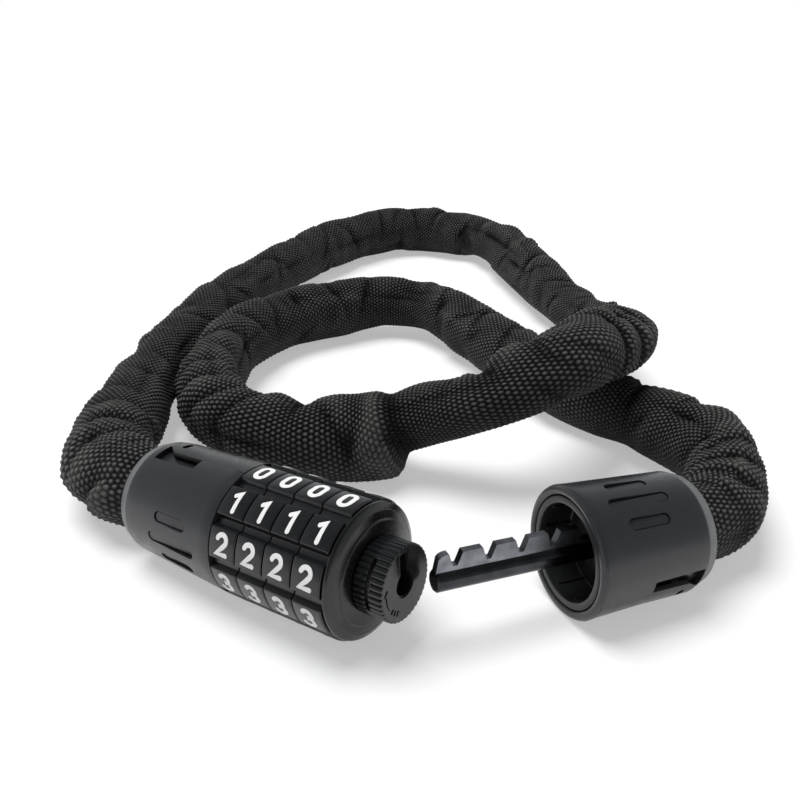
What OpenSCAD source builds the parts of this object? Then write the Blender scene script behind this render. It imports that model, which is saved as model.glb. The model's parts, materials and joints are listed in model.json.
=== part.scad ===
// Combination chain lock: a dial barrel and a socket barrel on the two ends of a steel chain,
// which runs in a woven sleeve. The toothed bolt in the socket barrel enters the dial barrel.
// Each barrel is drawn along its own +Z with +X up, and then placed on the floor, z = 0.

/* [Dial barrel] */
// Number of dials
dial_count = 4; // [3:1:5]
// Radius over the dial pads
dial_r = 17.5; // [17:0.1:19]
// Axial pitch of the dials
dial_pitch = 8.9; // [8.5:0.1:11]
// Running gap between neighbouring dials
dial_gap = 0.3; // [0.2:0.05:0.5]
// Pads, and so digits, on a dial
pad_count = 10; // [8:1:12]
// Depth of the notches between the pads
notch_depth = 1.5; // [0.8:0.1:2]
// Width of a notch at its floor
notch_w = 1.6; // [1:0.1:2.2]
// Width of a notch at the pads
notch_mouth_w = 3.4; // [2.4:0.1:4]
// Bevel along the two rims of a dial
dial_bevel = 0.5; // [0.2:0.1:0.8]
// Length of the dial barrel's casing
casing_len = 37; // [34:0.5:45]

/* [Socket barrel] */
// Length of the socket barrel's casing
socket_len = 35.4; // [33:0.2:45]
// Outer radius at the socket's mouth
socket_r = 17.1; // [16.8:0.1:18.5]
// Depth of the socket's cavity
cavity_len = 9.6; // [9.2:0.1:12]
// Inner radius of the socket's liner
liner_r = 12.5; // [10.6:0.1:12.6]
// Wall of the liner
liner_wall = 1.9; // [1.2:0.1:2]

/* [Casings] */
// Outer radius of both casings where the end chamfer starts
end_r = 15.7; // [15:0.1:16.2]
// Length of the chamfer at the chain's end
chamfer_len = 2.4; // [1:0.1:3]
// Radial depth of that chamfer
chamfer_depth = 1.3; // [0.5:0.1:1.6]
// Radius of the bore inside both casings
bore_r = 13.2; // [12.6:0.1:13.4]
// Clearance of a part that is pressed or glued into its seat
seat_gap = 0.05; // [0.02:0.01:0.1]
// Radial clearance of a running fit
run_gap = 0.05; // [0.02:0.01:0.1]
// Depth of the finger grips
grip_depth = 0.6; // [0.3:0.1:0.9]
// Width of a finger grip
grip_w = 2.8; // [2:0.1:4]
// Length of the outer grips
grip_short = 12; // [8:0.5:14]
// Length of the middle grip
grip_long = 17.5; // [12:0.5:20]

/* [Spring clips] */
// Width of a clip
clip_w = 9; // [7:0.2:10]
// Thickness of a clip
clip_t = 1.2; // [0.8:0.1:1.3]
// Height of a tongue's tip above the skin of its casing
tongue_rise = 0.4; // [0:0.1:0.8]
// Half of the angle of the recess under a tongue
recess_half = 29; // [26:1:32]
// Distance from the seam or mouth to the recess
recess_start = 16; // [12:0.5:18]
// Length of the recess
recess_len = 15.5; // [12:0.5:16]
// Wall of the casing under the recess
recess_wall = 0.9; // [0.6:0.1:1.2]
// Length of the clip inside the recess
tongue_len = 14.6; // [10:0.2:15]

/* [Knob and cap] */
// Radius of the setting knob
knob_r = 9.6; // [9:0.1:10.2]
// Length of the knurled knob
knob_len = 8.1; // [7:0.1:8.4]
// Number of flutes on the knob
flute_count = 40; // [24:2:48]
// Radius of one flute
flute_r = 0.42; // [0.25:0.01:0.5]
// Thickness of the end cap
cap_len = 2.6; // [2:0.1:3.5]
// Outer radius of the end cap
cap_r = 17; // [16:0.1:17.5]

/* [Bolt] */
// Radius of the bolt's rod
rod_r = 2.8; // [2.6:0.05:3]
// Length of the bolt outside the mouth
bolt_reach = 36; // [30:0.5:37]
// Thickness of the toothed fin
fin_t = 2; // [1.6:0.1:2.2]
// Height of the teeth above the rod's axis
tooth_h = 7.2; // [6.4:0.1:7.4]
// Height of the valleys above the rod's axis
valley_h = 3.8; // [3.2:0.1:4.4]
// Length of a valley at its floor
valley_len = 1.2; // [0.8:0.1:1.6]
// Length of a valley at the tops of the teeth
valley_mouth = 3.6; // [2.4:0.1:4]
// Clearance of the bolt in its bore and slot
bolt_gap = 0.2; // [0.1:0.05:0.3]

/* [Chain] */
// Diameter of the chain's wire
wire_d = 3.8; // [3.2:0.1:4]
// Outer width of a link
link_w = 14.5; // [13.5:0.1:15]
// Outer length of a link
link_len = 25.1; // [24:0.1:27]
// Slack between neighbouring links
link_slack = 0.75; // [0.6:0.05:1.2]
// Radius of the pins that hold the end links
pin_r = 2.2; // [1.8:0.1:2.4]
// Distance from a casing's chain end to the pin
pin_depth = 11; // [10.5:0.1:12]
// Wall of the sleeve
sleeve_wall = 1.2; // [0.8:0.1:1.4]
// Outer radius of the sleeve's gathered necks
neck_r = 9.5; // [9.2:0.1:9.8]
// Wall of the clamp rings on the necks
clamp_wall = 0.9; // [0.6:0.1:1.2]

/* [Places] */
// Heading of the dial barrel's axis, from the chain to the knob
lock_yaw = -35.6; // [-45:0.1:-25]
// Heading of the socket barrel's axis, from the mouth to the chain
socket_yaw = 23; // [15:0.1:30]

/* [Hidden] */
$fn = 96;
eps = 0.01;
far = 60;

// Places of the two barrels on the floor: each lies on its tapered side
lock_xy = [-38.7, 0.7];
socket_xy = [38.9, -9.6];
taper_len = casing_len - chamfer_len;
socket_taper_len = socket_len - chamfer_len;
lock_slope = (dial_r - end_r) / taper_len;
socket_slope = (socket_r - end_r) / socket_taper_len;
lock_tilt = atan(lock_slope);
socket_tilt = atan(socket_slope);
lock_pos = [lock_xy.x, lock_xy.y, dial_r * cos(lock_tilt)];
socket_pos = [socket_xy.x, socket_xy.y, socket_r * cos(socket_tilt)];

// Dial barrel, measured from the seam between the casing and the first dial
stack_len = dial_count * dial_pitch;
core_r = 5.7;
core_bore_r = rod_r + bolt_gap;
slot_w = fin_t + 2 * bolt_gap;
core_seat = 10;
pin_back = 4.6;
body_len = casing_len - pin_depth + pin_back;
wheel_start = 0.4;
wheel_w = dial_pitch - 1;
wheel_r = 10.4;
wheel_hub_r = tooth_h + 1;
gate_r = tooth_h + 0.6;
flange_t = 1.1;
spline_h = 0.8;
spline_w = 2.2;
spline_gap = 0.12;
cap_start = stack_len + dial_gap / 2;
cap_front = cap_start + cap_len;
knob_start = cap_front + 0.25;
knob_front = knob_start + knob_len;
collar_r = 7.5;
knob_wall = 2.4;
collar_end = knob_front - knob_wall - 0.3;
clip_z = knob_start + knob_len / 2 - 0.1;
clip_ring_t = 0.8;
slit_from = 32;
slit_to = 114;
shoulder_r = 4.5;
spring_wire_r = 0.45;
spring_turns = 3;
spring_len = 4.4;
spring_r = (wheel_hub_r + wheel_r) / 2;
finger_r = wheel_hub_r - 0.35;
leaf_w = 3;
leaf_t = 0.5;
leaf_sink = 0.3;

// The bolt's teeth pass one dial pitch apart, so the valleys meet the flanges of the wheels
tip_in = cap_front + 0.05 - bolt_reach;
first_valley = 4.4;
flange_z = tip_in + first_valley + valley_len / 2;

// Socket barrel, measured from its mouth
liner_out_r = liner_r + liner_wall;
liner_start = 0.4;
liner_floor = 0.8;
socket_body_start = liner_start + cavity_len + liner_floor + seat_gap;
socket_body_end = socket_len - pin_depth + pin_back;
bolt_head_r = 4.6;
bolt_head_t = 1.8;
bolt_pin_r = 1;
bolt_head_z = socket_len - pin_depth - pin_r - wire_d - 0.5 - bolt_head_t;
bolt_pin_z = (socket_body_start + bolt_head_z) / 2;
lip_r = 1.2;

// Slots for the end links
pin_to_link = (link_len - wire_d) / 2 - pin_r - wire_d / 2 - 0.15;
slot_depth = pin_r + wire_d + 0.5;
link_slot_w = link_w + 2;
link_slot_h = wire_d + 1;
swivel = 8;
swivel_gap = 0.8;

// Angles round the barrels, from straight up towards the front
lock_clip_at = -10;
socket_clip_at = 126;
lock_grips = [71, 93, 115];
socket_grips = [0, 21, 42];
lock_grip_z = -15.4;
socket_grip_z = 15.7;
flare_w = 1.2;
flare_len = 5;
tip_cut_len = 3.2;
tip_cut_w = 2.2;
clip_sink = 0.1;
clip_hole_r = 0.9;
clip_hole_len = 1.6;
rib_at = 4;
rib_t = 1.2;
recess_floor_r = bore_r + recess_wall;

// Points on the two axes
function lock_axis(z) = lock_pos + z * [
    cos(lock_yaw) * cos(lock_tilt), sin(lock_yaw) * cos(lock_tilt), sin(lock_tilt)
];
function socket_axis(z) = socket_pos + z * [
    cos(socket_yaw) * cos(socket_tilt), sin(socket_yaw) * cos(socket_tilt), -sin(socket_tilt)
];
lock_pin_z = pin_depth - casing_len;
socket_pin_z = socket_len - pin_depth;
neck_start = pin_back + neck_r * sin(swivel) + swivel_gap;
neck_end = pin_depth + 2;
clamp_start = neck_start + 0.4;
clamp_len = 3;

// The chain's route over the floor: x, y, z and the sleeve's outer radius at each point
route_points = [
    [-77.5, 31, 15, 11.5], [-88, 46, 14, 13], [-94, 71, 13.2, 12.5], [-97, 109, 12.6, 12],
    [-93, 162, 12.6, 12.2], [-80, 223, 13, 12.6], [-55, 288, 13.3, 13], [-26, 335, 13.3, 13],
    [3, 351, 13.3, 13], [33, 340, 12.8, 12.5], [54, 307, 12.8, 12.5], [68, 245, 13, 12.5],
    [78.5, 185, 15.3, 12.2], [83, 135, 25, 12], [76, 105, 34, 12], [62, 79, 38.4, 12],
    [45, 60, 38, 12], [26, 54, 31, 12], [7, 60, 22, 12], [-12, 63, 15, 12.5],
    [-33, 64, 13, 12.5], [-50, 69, 12.8, 12.2], [-63, 84, 12.6, 12], [-70, 111, 12.6, 12],
    [-69, 147, 12.6, 12], [-52, 183, 13, 12.7], [-16, 200, 13.3, 13], [14, 192, 12.8, 12.5],
    [36, 153, 12.5, 12.2], [60, 106, 11.8, 11.5], [82, 79, 12.4, 12], [96, 52, 14, 13],
    [93, 26.5, 15, 12.8], [83.2, 11.8, 15.2, 11.3]
];
route = concat(
    [for (d = [0, neck_start, neck_end]) concat(lock_axis(lock_pin_z - d), [neck_r])],
    route_points,
    [for (d = [neck_end, neck_start, 0]) concat(socket_axis(socket_pin_z + d), [neck_r])]
);
ring_sides = 10;
rings_per_span = 2;

// A point of the smooth curve through the route, t of the way along span i
function curve(i, t) =
    let (
        n = len(route),
        b = route[i],
        c = route[i + 1],
        a = i > 0 ? route[i - 1] : 2 * b - c,
        d = i + 2 < n ? route[i + 2] : 2 * c - b
    )
    (2 * b + (c - a) * t + (2 * a - 5 * b + 4 * c - d) * t * t + (3 * b - a - 3 * c + d) * t * t * t) / 2;
function place(p) = [p.x, p.y, p.z];
function unit(v) = v / norm(v);
function sum_to(steps, i) = i == 0 ? 0 : steps[i - 1] + sum_to(steps, i - 1);

// A closed tube along points, with an outer and an inner radius at each
function ring_at(points, k, r) =
    let (
        n = len(points),
        ahead = unit(points[min(k + 1, n - 1)] - points[max(k - 1, 0)]),
        side = unit(cross(ahead, [0, 0, 1])),
        top = cross(side, ahead)
    )
    [for (j = [0:ring_sides - 1])
        let (turn = 360 * (j + 0.5) / ring_sides)
        points[k] + r * (cos(turn) * side + sin(turn) * top)];
module tube(points, radii, wall) {
    n = len(points);
    m = ring_sides;
    outer = [for (k = [0:n - 1]) each ring_at(points, k, radii[k])];
    inner = [for (k = [0:n - 1]) each ring_at(points, k, radii[k] - wall)];
    shift = n * m;
    skin = [for (k = [0:n - 2], j = [0:m - 1])
        [k * m + j, k * m + (j + 1) % m, (k + 1) * m + (j + 1) % m, (k + 1) * m + j]];
    lining = [for (f = skin) [f[3] + shift, f[2] + shift, f[1] + shift, f[0] + shift]];
    first = [for (j = [0:m - 1]) [j, j + shift, (j + 1) % m + shift, (j + 1) % m]];
    base = (n - 1) * m;
    last = [for (j = [0:m - 1])
        [base + j, base + (j + 1) % m, base + (j + 1) % m + shift, base + j + shift]];
    polyhedron(concat(outer, inner), concat(skin, lining, first, last), convexity = 10);
}

module on_lock() {
    translate(lock_pos)
        rotate([0, -lock_tilt, lock_yaw])
            rotate([0, 90, 0])
                rotate(180)
                    children();
}

module on_socket() {
    translate(socket_pos)
        rotate([0, socket_tilt, socket_yaw])
            rotate([0, 90, 0])
                rotate(180)
                    children();
}

// A part of a ring between two radii, from z0 to z1, centred on an angle
module ring_part(r0, r1, z0, z1, at, half) {
    rotate(at - half)
        rotate_extrude(angle = 2 * half)
            translate([r0, z0])
                square([r1 - r0, z1 - z0]);
}

// A plain ring
module ring(r0, r1, z0, z1) {
    translate([0, 0, z0])
        difference() {
            cylinder(r = r1, h = z1 - z0);
            translate([0, 0, -1])
                cylinder(r = r0, h = z1 - z0 + 2);
        }
}

// A stadium-shaped pocket in the skin of a casing
module grip_pocket(z, at, length, skin_r) {
    rotate(at)
        translate([skin_r - grip_depth, 0, z])
            rotate([0, 90, 0])
                linear_extrude(4)
                    union() {
                        square([length - grip_w, grip_w], center = true);
                        for (end = [-1, 1])
                            translate([end * (length - grip_w) / 2, 0])
                                circle(d = grip_w, $fn = 48);
                    }
}

module grips(z, angles, skin_r) {
    for (turn = [0, 180])
        for (k = [0:2])
            grip_pocket(z, angles[k] + turn, k == 1 ? grip_long : grip_short, skin_r);
}

// The slot for an end link and the hole for its pin, in a body whose chain end is at z = 0 side
module link_slot(pin_z, out) {
    hull_len = far;
    from = out > 0 ? pin_z - slot_depth : pin_z + slot_depth - hull_len;
    translate([-link_slot_h / 2, -link_slot_w / 2, from])
        cube([link_slot_h, link_slot_w, hull_len]);
    translate([-far / 2, 0, pin_z])
        rotate([0, 90, 0])
            cylinder(r = pin_r + 0.02, h = far);
}

// Outline of a clip seen from outside, with x along the barrel from its seam or mouth
module clip_outline(tip, flare, grow) {
    w = clip_w / 2 + grow;
    side = [
        [-2, w + flare], [flare_len, w], [tip - tip_cut_len, w], [tip, w - tip_cut_w]
    ];
    polygon(concat(side, [for (k = [3:-1:0]) [side[k].x, -side[k].y]]));
}

// A spring clip on top of a casing whose skin has radius r0 and narrows by slope
module clip(r0, slope, start, flare) {
    tip = recess_start + tongue_len;
    skin = [r0 - clip_sink - slope * start, r0 - clip_sink - slope * recess_start,
        r0 + tongue_rise - slope * tip];
    difference() {
        intersection() {
            rotate_extrude()
                polygon([
                    [skin[0] - clip_t, -start], [skin[0], -start], [skin[1], -recess_start],
                    [skin[2], -tip], [skin[2] - clip_t, -tip], [skin[1] - clip_t, -recess_start]
                ]);
            rotate([0, 90, 0])
                linear_extrude(far)
                    clip_outline(tip, flare, 0);
        }
        for (end = [-1, 1])
            translate([0, end * clip_hole_len / 2, -tip + tip_cut_len + 0.6])
                rotate([0, 90, 0])
                    cylinder(r = clip_hole_r, h = far, $fn = 32);
        translate([0, -clip_hole_len / 2, -tip + tip_cut_len + 0.6 - clip_hole_r])
            cube([far, clip_hole_len, 2 * clip_hole_r]);
    }
}

// The seat of a clip and the recess under its tongue, with the rib that stays in the recess
module clip_pocket(r0, slope, start, flare) {
    seat_end = recess_start + 1;
    intersection() {
        rotate_extrude()
            polygon([
                [r0 - clip_sink - slope * start - clip_t - seat_gap, -start],
                [far, -start], [far, -seat_end],
                [r0 - clip_sink - slope * seat_end - clip_t - seat_gap, -seat_end]
            ]);
        rotate([0, 90, 0])
            linear_extrude(far)
                clip_outline(far, flare, seat_gap);
    }
    difference() {
        ring_part(recess_floor_r, far, -recess_start - recess_len, -recess_start, 0, recess_half);
        ring_part(0, r0 - clip_sink - slope * (recess_start + rib_at) - clip_t - 0.3,
            -recess_start - rib_at - rib_t, -recess_start - rib_at, 0, recess_half / 4);
    }
}

module anchor_pin(pin_z) {
    length = 2 * (bore_r - 0.7);
    translate([-length / 2, 0, pin_z])
        rotate([0, 90, 0])
            cylinder(r = pin_r, h = length, $fn = 48);
}

/* Chain */

module link() {
    straight = link_len - link_w;
    bend = (link_w - wire_d) / 2;
    for (end = [-1, 1]) {
        translate([end * straight / 2, 0, 0])
            rotate(end > 0 ? -90 : 90)
                rotate_extrude(angle = 180, $fn = 48)
                    translate([bend, 0])
                        circle(d = wire_d, $fn = 24);
        translate([-straight / 2, end * bend, 0])
            rotate([0, 90, 0])
                cylinder(d = wire_d, h = straight, $fn = 24);
    }
}

module chain_links() {
    steps = 6;
    spans = len(route) - 1;
    line = concat(
        [lock_axis(lock_pin_z + link_len)],
        [for (i = [0:spans - 1], k = [0:steps - 1]) place(curve(i, k / steps))],
        [place(route[spans]), socket_axis(socket_pin_z - link_len)]
    );
    gaps = [for (k = [1:len(line) - 1]) norm(line[k] - line[k - 1])];
    run = [for (k = [0:len(line) - 1]) sum_to(gaps, k)];
    xs = [for (k = [0:len(line) - 1]) [run[k], line[k].x]];
    ys = [for (k = [0:len(line) - 1]) [run[k], line[k].y]];
    zs = [for (k = [0:len(line) - 1]) [run[k], line[k].z]];
    first = link_len + pin_to_link;
    between = run[len(line) - 1] - 2 * first;
    pitch_most = link_len - 2 * wire_d - link_slack;
    count = 2 * ceil(between / pitch_most / 2) + 1;
    pitch = between / (count - 1);
    color("#8f9296")
        for (i = [0:count - 1]) {
            mid = first + i * pitch;
            a = [lookup(mid - pitch / 2, xs), lookup(mid - pitch / 2, ys), lookup(mid - pitch / 2, zs)];
            b = [lookup(mid + pitch / 2, xs), lookup(mid + pitch / 2, ys), lookup(mid + pitch / 2, zs)];
            ahead = b - a;
            translate((a + b) / 2)
                rotate([90 * (i % 2), -asin(ahead.z / norm(ahead)), atan2(ahead.y, ahead.x)])
                    link();
        }
}

module chain_sleeve() {
    spans = len(route) - 1;
    samples = concat(
        [for (i = [1:spans - 2], k = [0:rings_per_span - 1]) curve(i, k / rings_per_span)],
        [route[spans - 1]]
    );
    color("#1b1b1d")
        tube([for (p = samples) place(p)], [for (p = samples) p[3]], sleeve_wall);
}

module neck_clamp(z0) {
    ring(neck_r + seat_gap, neck_r + seat_gap + clamp_wall, z0, z0 + clamp_len);
}

module sleeve_clamp_lock() {
    color("#b9babd")
        on_lock()
            neck_clamp(lock_pin_z - clamp_start - clamp_len);
}

module sleeve_clamp_socket() {
    color("#b9babd")
        on_socket()
            neck_clamp(socket_pin_z + clamp_start);
}

/* Dial barrel */

module lock_casing() {
    color("#3a3b3e")
        on_lock()
            difference() {
                rotate_extrude()
                    polygon([
                        [bore_r, 0], [dial_r - 0.15, 0], [dial_r, -0.3], [end_r, -taper_len],
                        [end_r - chamfer_depth, -casing_len], [bore_r, -casing_len]
                    ]);
                grips(lock_grip_z, lock_grips, (dial_r + end_r) / 2);
                rotate(lock_clip_at)
                    clip_pocket(dial_r, lock_slope, -1, flare_w);
            }
}

module lock_clip() {
    color("#2c2d2f")
        on_lock()
            rotate(lock_clip_at)
                clip(dial_r, lock_slope, 0.2, flare_w);
}

module lock_body() {
    color("#9a9ca0")
        on_lock()
            difference() {
                translate([0, 0, -body_len])
                    cylinder(r = bore_r - seat_gap, h = body_len - 0.2);
                translate([0, 0, -core_seat])
                    cylinder(r = core_r + 0.02, h = core_seat + 1);
                translate([0, 0, -spring_len - 0.2])
                    cylinder(r = spring_r + spring_wire_r + 0.4, h = spring_len + 1);
                link_slot(lock_pin_z, -1);
            }
}

module core_tube() {
    color("#b4b6ba")
        on_lock()
            difference() {
                translate([0, 0, -core_seat])
                    cylinder(r = core_r, h = core_seat + collar_end);
                translate([0, 0, tip_in - 1])
                    cylinder(r = core_bore_r, h = far + core_seat);
                translate([0, -slot_w / 2, tip_in - 1])
                    cube([far, slot_w, far + core_seat]);
                translate([-core_r - 1, -leaf_w / 2 - 0.1, 0])
                    cube([1 + leaf_sink + leaf_t + 0.1, leaf_w + 0.2, stack_len - 0.5]);
            }
}

module lock_anchor_pin() {
    color("#c4c5c8")
        on_lock()
            anchor_pin(lock_pin_z);
}

module wheel_spring() {
    turn_steps = 12;
    steps = spring_turns * turn_steps;
    low = -spring_len + spring_wire_r;
    rise = spring_len + wheel_start - 0.1 - 2 * spring_wire_r;
    points = [for (k = [0:steps])
        [spring_r * cos(360 * k / turn_steps), spring_r * sin(360 * k / turn_steps),
            low - 0.15 + rise * k / steps]];
    color("#c9cacd")
        on_lock()
            tube_solid(points, spring_wire_r, 6);
}

// A solid round wire along points
module tube_solid(points, r, sides) {
    n = len(points);
    rings = [for (k = [0:n - 1])
        let (
            ahead = unit(points[min(k + 1, n - 1)] - points[max(k - 1, 0)]),
            side = unit(cross(ahead, [0, 0, 1])),
            top = cross(side, ahead)
        )
        each [for (j = [0:sides - 1])
            points[k] + r * (cos(360 * j / sides) * side + sin(360 * j / sides) * top)]];
    skin = [for (k = [0:n - 2], j = [0:sides - 1])
        [k * sides + j, k * sides + (j + 1) % sides, (k + 1) * sides + (j + 1) % sides,
            (k + 1) * sides + j]];
    first = [[for (j = [sides - 1:-1:0]) j]];
    last = [[for (j = [0:sides - 1]) (n - 1) * sides + j]];
    polyhedron(rings, concat(skin, first, last), convexity = 6);
}

module detent_spring() {
    color("#c9cacd")
        on_lock() {
            translate([-core_r + leaf_sink, -leaf_w / 2, 0.5])
                cube([leaf_t, leaf_w, stack_len - 1.5]);
            for (i = [0:dial_count - 1])
                translate([-finger_r, -leaf_w / 2, i * dial_pitch + wheel_start + 1.2])
                    cube([finger_r - core_r + leaf_sink + eps, leaf_w, 1]);
        }
}

module wheel_spline(extra) {
    circle(r = wheel_r + extra);
    for (k = [0:pad_count - 1])
        rotate(360 * k / pad_count)
            translate([0, -spline_w / 2 - extra])
                square([wheel_r + spline_h + extra, spline_w + 2 * extra]);
}

module code_wheel(i) {
    z0 = i * dial_pitch + wheel_start;
    flange = flange_z + i * dial_pitch - flange_t / 2;
    color("#c2a35a")
        on_lock()
            difference() {
                translate([0, 0, z0])
                    linear_extrude(wheel_w)
                        wheel_spline(0);
                translate([0, 0, z0 - 1])
                    cylinder(r = wheel_hub_r, h = flange - z0 + 1);
                translate([0, 0, flange + flange_t])
                    cylinder(r = wheel_hub_r, h = z0 + wheel_w - flange - flange_t + 1);
                translate([0, 0, z0 - 1])
                    cylinder(r = core_r + run_gap, h = wheel_w + 2);
                translate([0, -slot_w / 2, z0 - 1])
                    cube([gate_r, slot_w, wheel_w + 2]);
            }
}

module dial(i) {
    z0 = i * dial_pitch + dial_gap / 2;
    width = dial_pitch - dial_gap;
    color("#2b2c2e")
        on_lock()
            translate([0, 0, z0])
                difference() {
                    rotate_extrude()
                        polygon([
                            [0, 0], [dial_r - dial_bevel, 0], [dial_r, dial_bevel],
                            [dial_r, width - dial_bevel], [dial_r - dial_bevel, width], [0, width]
                        ]);
                    translate([0, 0, -1])
                        linear_extrude(width + 2)
                            wheel_spline(spline_gap);
                    for (k = [0:pad_count - 1])
                        rotate(360 * (k + 0.5) / pad_count)
                            translate([0, 0, -1])
                                linear_extrude(width + 2)
                                    polygon([
                                        [dial_r - notch_depth, -notch_w / 2],
                                        [dial_r + 0.5, -notch_mouth_w / 2],
                                        [dial_r + 0.5, notch_mouth_w / 2],
                                        [dial_r - notch_depth, notch_w / 2]
                                    ]);
                }
}

module end_cap() {
    step_r = knob_r + 3.4;
    color("#1f2022")
        on_lock()
            difference() {
                rotate_extrude()
                    polygon([
                        [core_r + 0.02, cap_start], [cap_r, cap_start],
                        [cap_r, cap_start + 0.5], [cap_r - 0.6, cap_start + 1.1],
                        [step_r + 1.4, cap_front - 0.7], [step_r, cap_front - 0.5],
                        [step_r - 0.3, cap_front], [collar_r, cap_front],
                        [collar_r, collar_end], [core_r + 0.02, collar_end]
                    ]);
                ring(collar_r - 0.5, collar_r + 1, clip_z - clip_ring_t / 2 - 0.05,
                    clip_z + clip_ring_t / 2 + 0.05);
                translate([0, -slot_w / 2, cap_start - 1])
                    cube([gate_r, slot_w, far]);
            }
}

module knob_clip() {
    color("#c9cacd")
        on_lock()
            difference() {
                ring(collar_r - 0.45, collar_r + 0.5, clip_z - clip_ring_t / 2,
                    clip_z + clip_ring_t / 2);
                translate([-far / 2, -2, clip_z - 1])
                    cube([far / 2, 4, 2]);
            }
}

module reset_knob() {
    color("#222325")
        on_lock()
            difference() {
                translate([0, 0, knob_start])
                    linear_extrude(knob_len)
                        difference() {
                            circle(r = knob_r);
                            for (k = [0:flute_count - 1])
                                rotate(360 * (k + 0.5) / flute_count)
                                    translate([knob_r + 0.1, 0])
                                        circle(r = flute_r, $fn = 16);
                        }
                translate([0, 0, knob_start - 1])
                    cylinder(r = collar_r + run_gap, h = collar_end + 0.2 - knob_start + 1);
                ring(collar_r - 1, collar_r + 0.6, clip_z - clip_ring_t / 2 - 0.05,
                    clip_z + clip_ring_t / 2 + 0.05);
                ring_part(collar_r, far, clip_z - 0.5, clip_z + 0.5, (slit_from + slit_to) / 2,
                    (slit_to - slit_from) / 2);
                translate([0, 0, collar_end])
                    cylinder(r = core_bore_r, h = far);
                translate([0, -slot_w / 2, collar_end])
                    cube([gate_r, slot_w, far]);
            }
}

/* Socket barrel */

module socket_casing() {
    color("#3a3b3e")
        on_socket()
            difference() {
                rotate_extrude()
                    polygon(concat(
                        [[liner_out_r + 0.3, 0.2], [socket_r - lip_r, 0]],
                        [for (a = [15:15:90])
                            [socket_r - lip_r + lip_r * sin(a), lip_r - lip_r * cos(a)]],
                        [
                            [end_r, socket_taper_len],
                            [end_r - chamfer_depth, socket_len], [bore_r, socket_len],
                            [bore_r, socket_body_start - seat_gap - liner_floor],
                            [liner_out_r + 0.3, socket_body_start - seat_gap - liner_floor]
                        ]
                    ));
                grips(socket_grip_z, socket_grips, (socket_r + end_r) / 2);
                mirror([0, 0, 1])
                    rotate(socket_clip_at)
                        clip_pocket(socket_r, socket_slope, -1, 0);
            }
}

module socket_liner() {
    color("#2a2b2c")
        on_socket()
            difference() {
                union() {
                    translate([0, 0, liner_start])
                        cylinder(r = liner_out_r, h = cavity_len);
                    translate([0, 0, liner_start + cavity_len - eps])
                        cylinder(r = bore_r - seat_gap, h = liner_floor + eps);
                }
                translate([0, 0, liner_start - 1])
                    cylinder(r = liner_r, h = cavity_len + 1);
                cylinder(r = rod_r + bolt_gap, h = far);
                translate([0, -slot_w / 2, 0])
                    cube([valley_h + bolt_gap, slot_w, far]);
            }
}

module socket_clip() {
    color("#2c2d2f")
        on_socket()
            mirror([0, 0, 1])
                rotate(socket_clip_at)
                    clip(socket_r, socket_slope, lip_r, 0);
}

module socket_body() {
    color("#9a9ca0")
        on_socket()
            difference() {
                translate([0, 0, socket_body_start])
                    cylinder(r = bore_r - seat_gap, h = socket_body_end - socket_body_start);
                cylinder(r = rod_r + 0.02, h = far / 2);
                translate([0, -fin_t / 2 - 0.02, 0])
                    cube([valley_h + 0.02, fin_t + 0.04, socket_body_start + 3]);
                translate([0, 0, bolt_head_z])
                    cylinder(r = bolt_head_r + 0.02, h = far);
                link_slot(socket_pin_z, 1);
                translate([0, bore_r + 1, bolt_pin_z])
                    rotate([90, 0, 0])
                        cylinder(r = bolt_pin_r + 0.02, h = 2 * bore_r + 2);
            }
}

// Outline of the toothed fin, from the tip at x = 0 along the rod
module fin_outline() {
    slope = (valley_mouth - valley_len) / 2;
    root = bolt_reach + socket_body_start + 2.9;
    last = first_valley + dial_count * dial_pitch;
    polygon(concat(
        [[0, 0], [0, rod_r], [0.4, tooth_h - 2]],
        [for (a = [60:-20:0]) [2.6 - 2.4 * sin(a), tooth_h - 2 + 2 * cos(a)]],
        [for (i = [0:dial_count - 1])
            each let (v = first_valley + i * dial_pitch)
                [
                    [v - slope, tooth_h], [v, valley_h], [v + valley_len, valley_h],
                    [v + valley_len + slope, tooth_h]
                ]],
        [
            [last - slope, tooth_h], [last, valley_h], [root, valley_h], [root, 0]
        ]
    ));
}

module bolt() {
    color("#4b4c4f")
        on_socket()
            difference() {
                union() {
                    translate([0, 0, -bolt_reach + 0.4])
                        cylinder(r = rod_r, h = bolt_reach + bolt_head_z + bolt_head_t - 0.8);
                    translate([0, 0, -bolt_reach])
                        cylinder(r1 = rod_r - 0.4, r2 = rod_r, h = 0.4 + eps);
                    translate([0, 0, bolt_head_z + 0.02])
                        cylinder(r = bolt_head_r, h = bolt_head_t - 0.4);
                    translate([0, fin_t / 2, -bolt_reach])
                        rotate([90, 0, 0])
                            linear_extrude(fin_t)
                                rotate(90)
                                    mirror([0, 1])
                                        fin_outline();
                }
                translate([0, bore_r, bolt_pin_z])
                    rotate([90, 0, 0])
                        cylinder(r = bolt_pin_r + 0.02, h = 2 * bore_r);
            }
}

module bolt_pin() {
    length = 2 * (bore_r - 0.5);
    color("#c4c5c8")
        on_socket()
            translate([0, length / 2, bolt_pin_z])
                rotate([90, 0, 0])
                    cylinder(r = bolt_pin_r, h = length, $fn = 32);
}

module socket_anchor_pin() {
    color("#c4c5c8")
        on_socket()
            anchor_pin(socket_pin_z);
}

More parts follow.
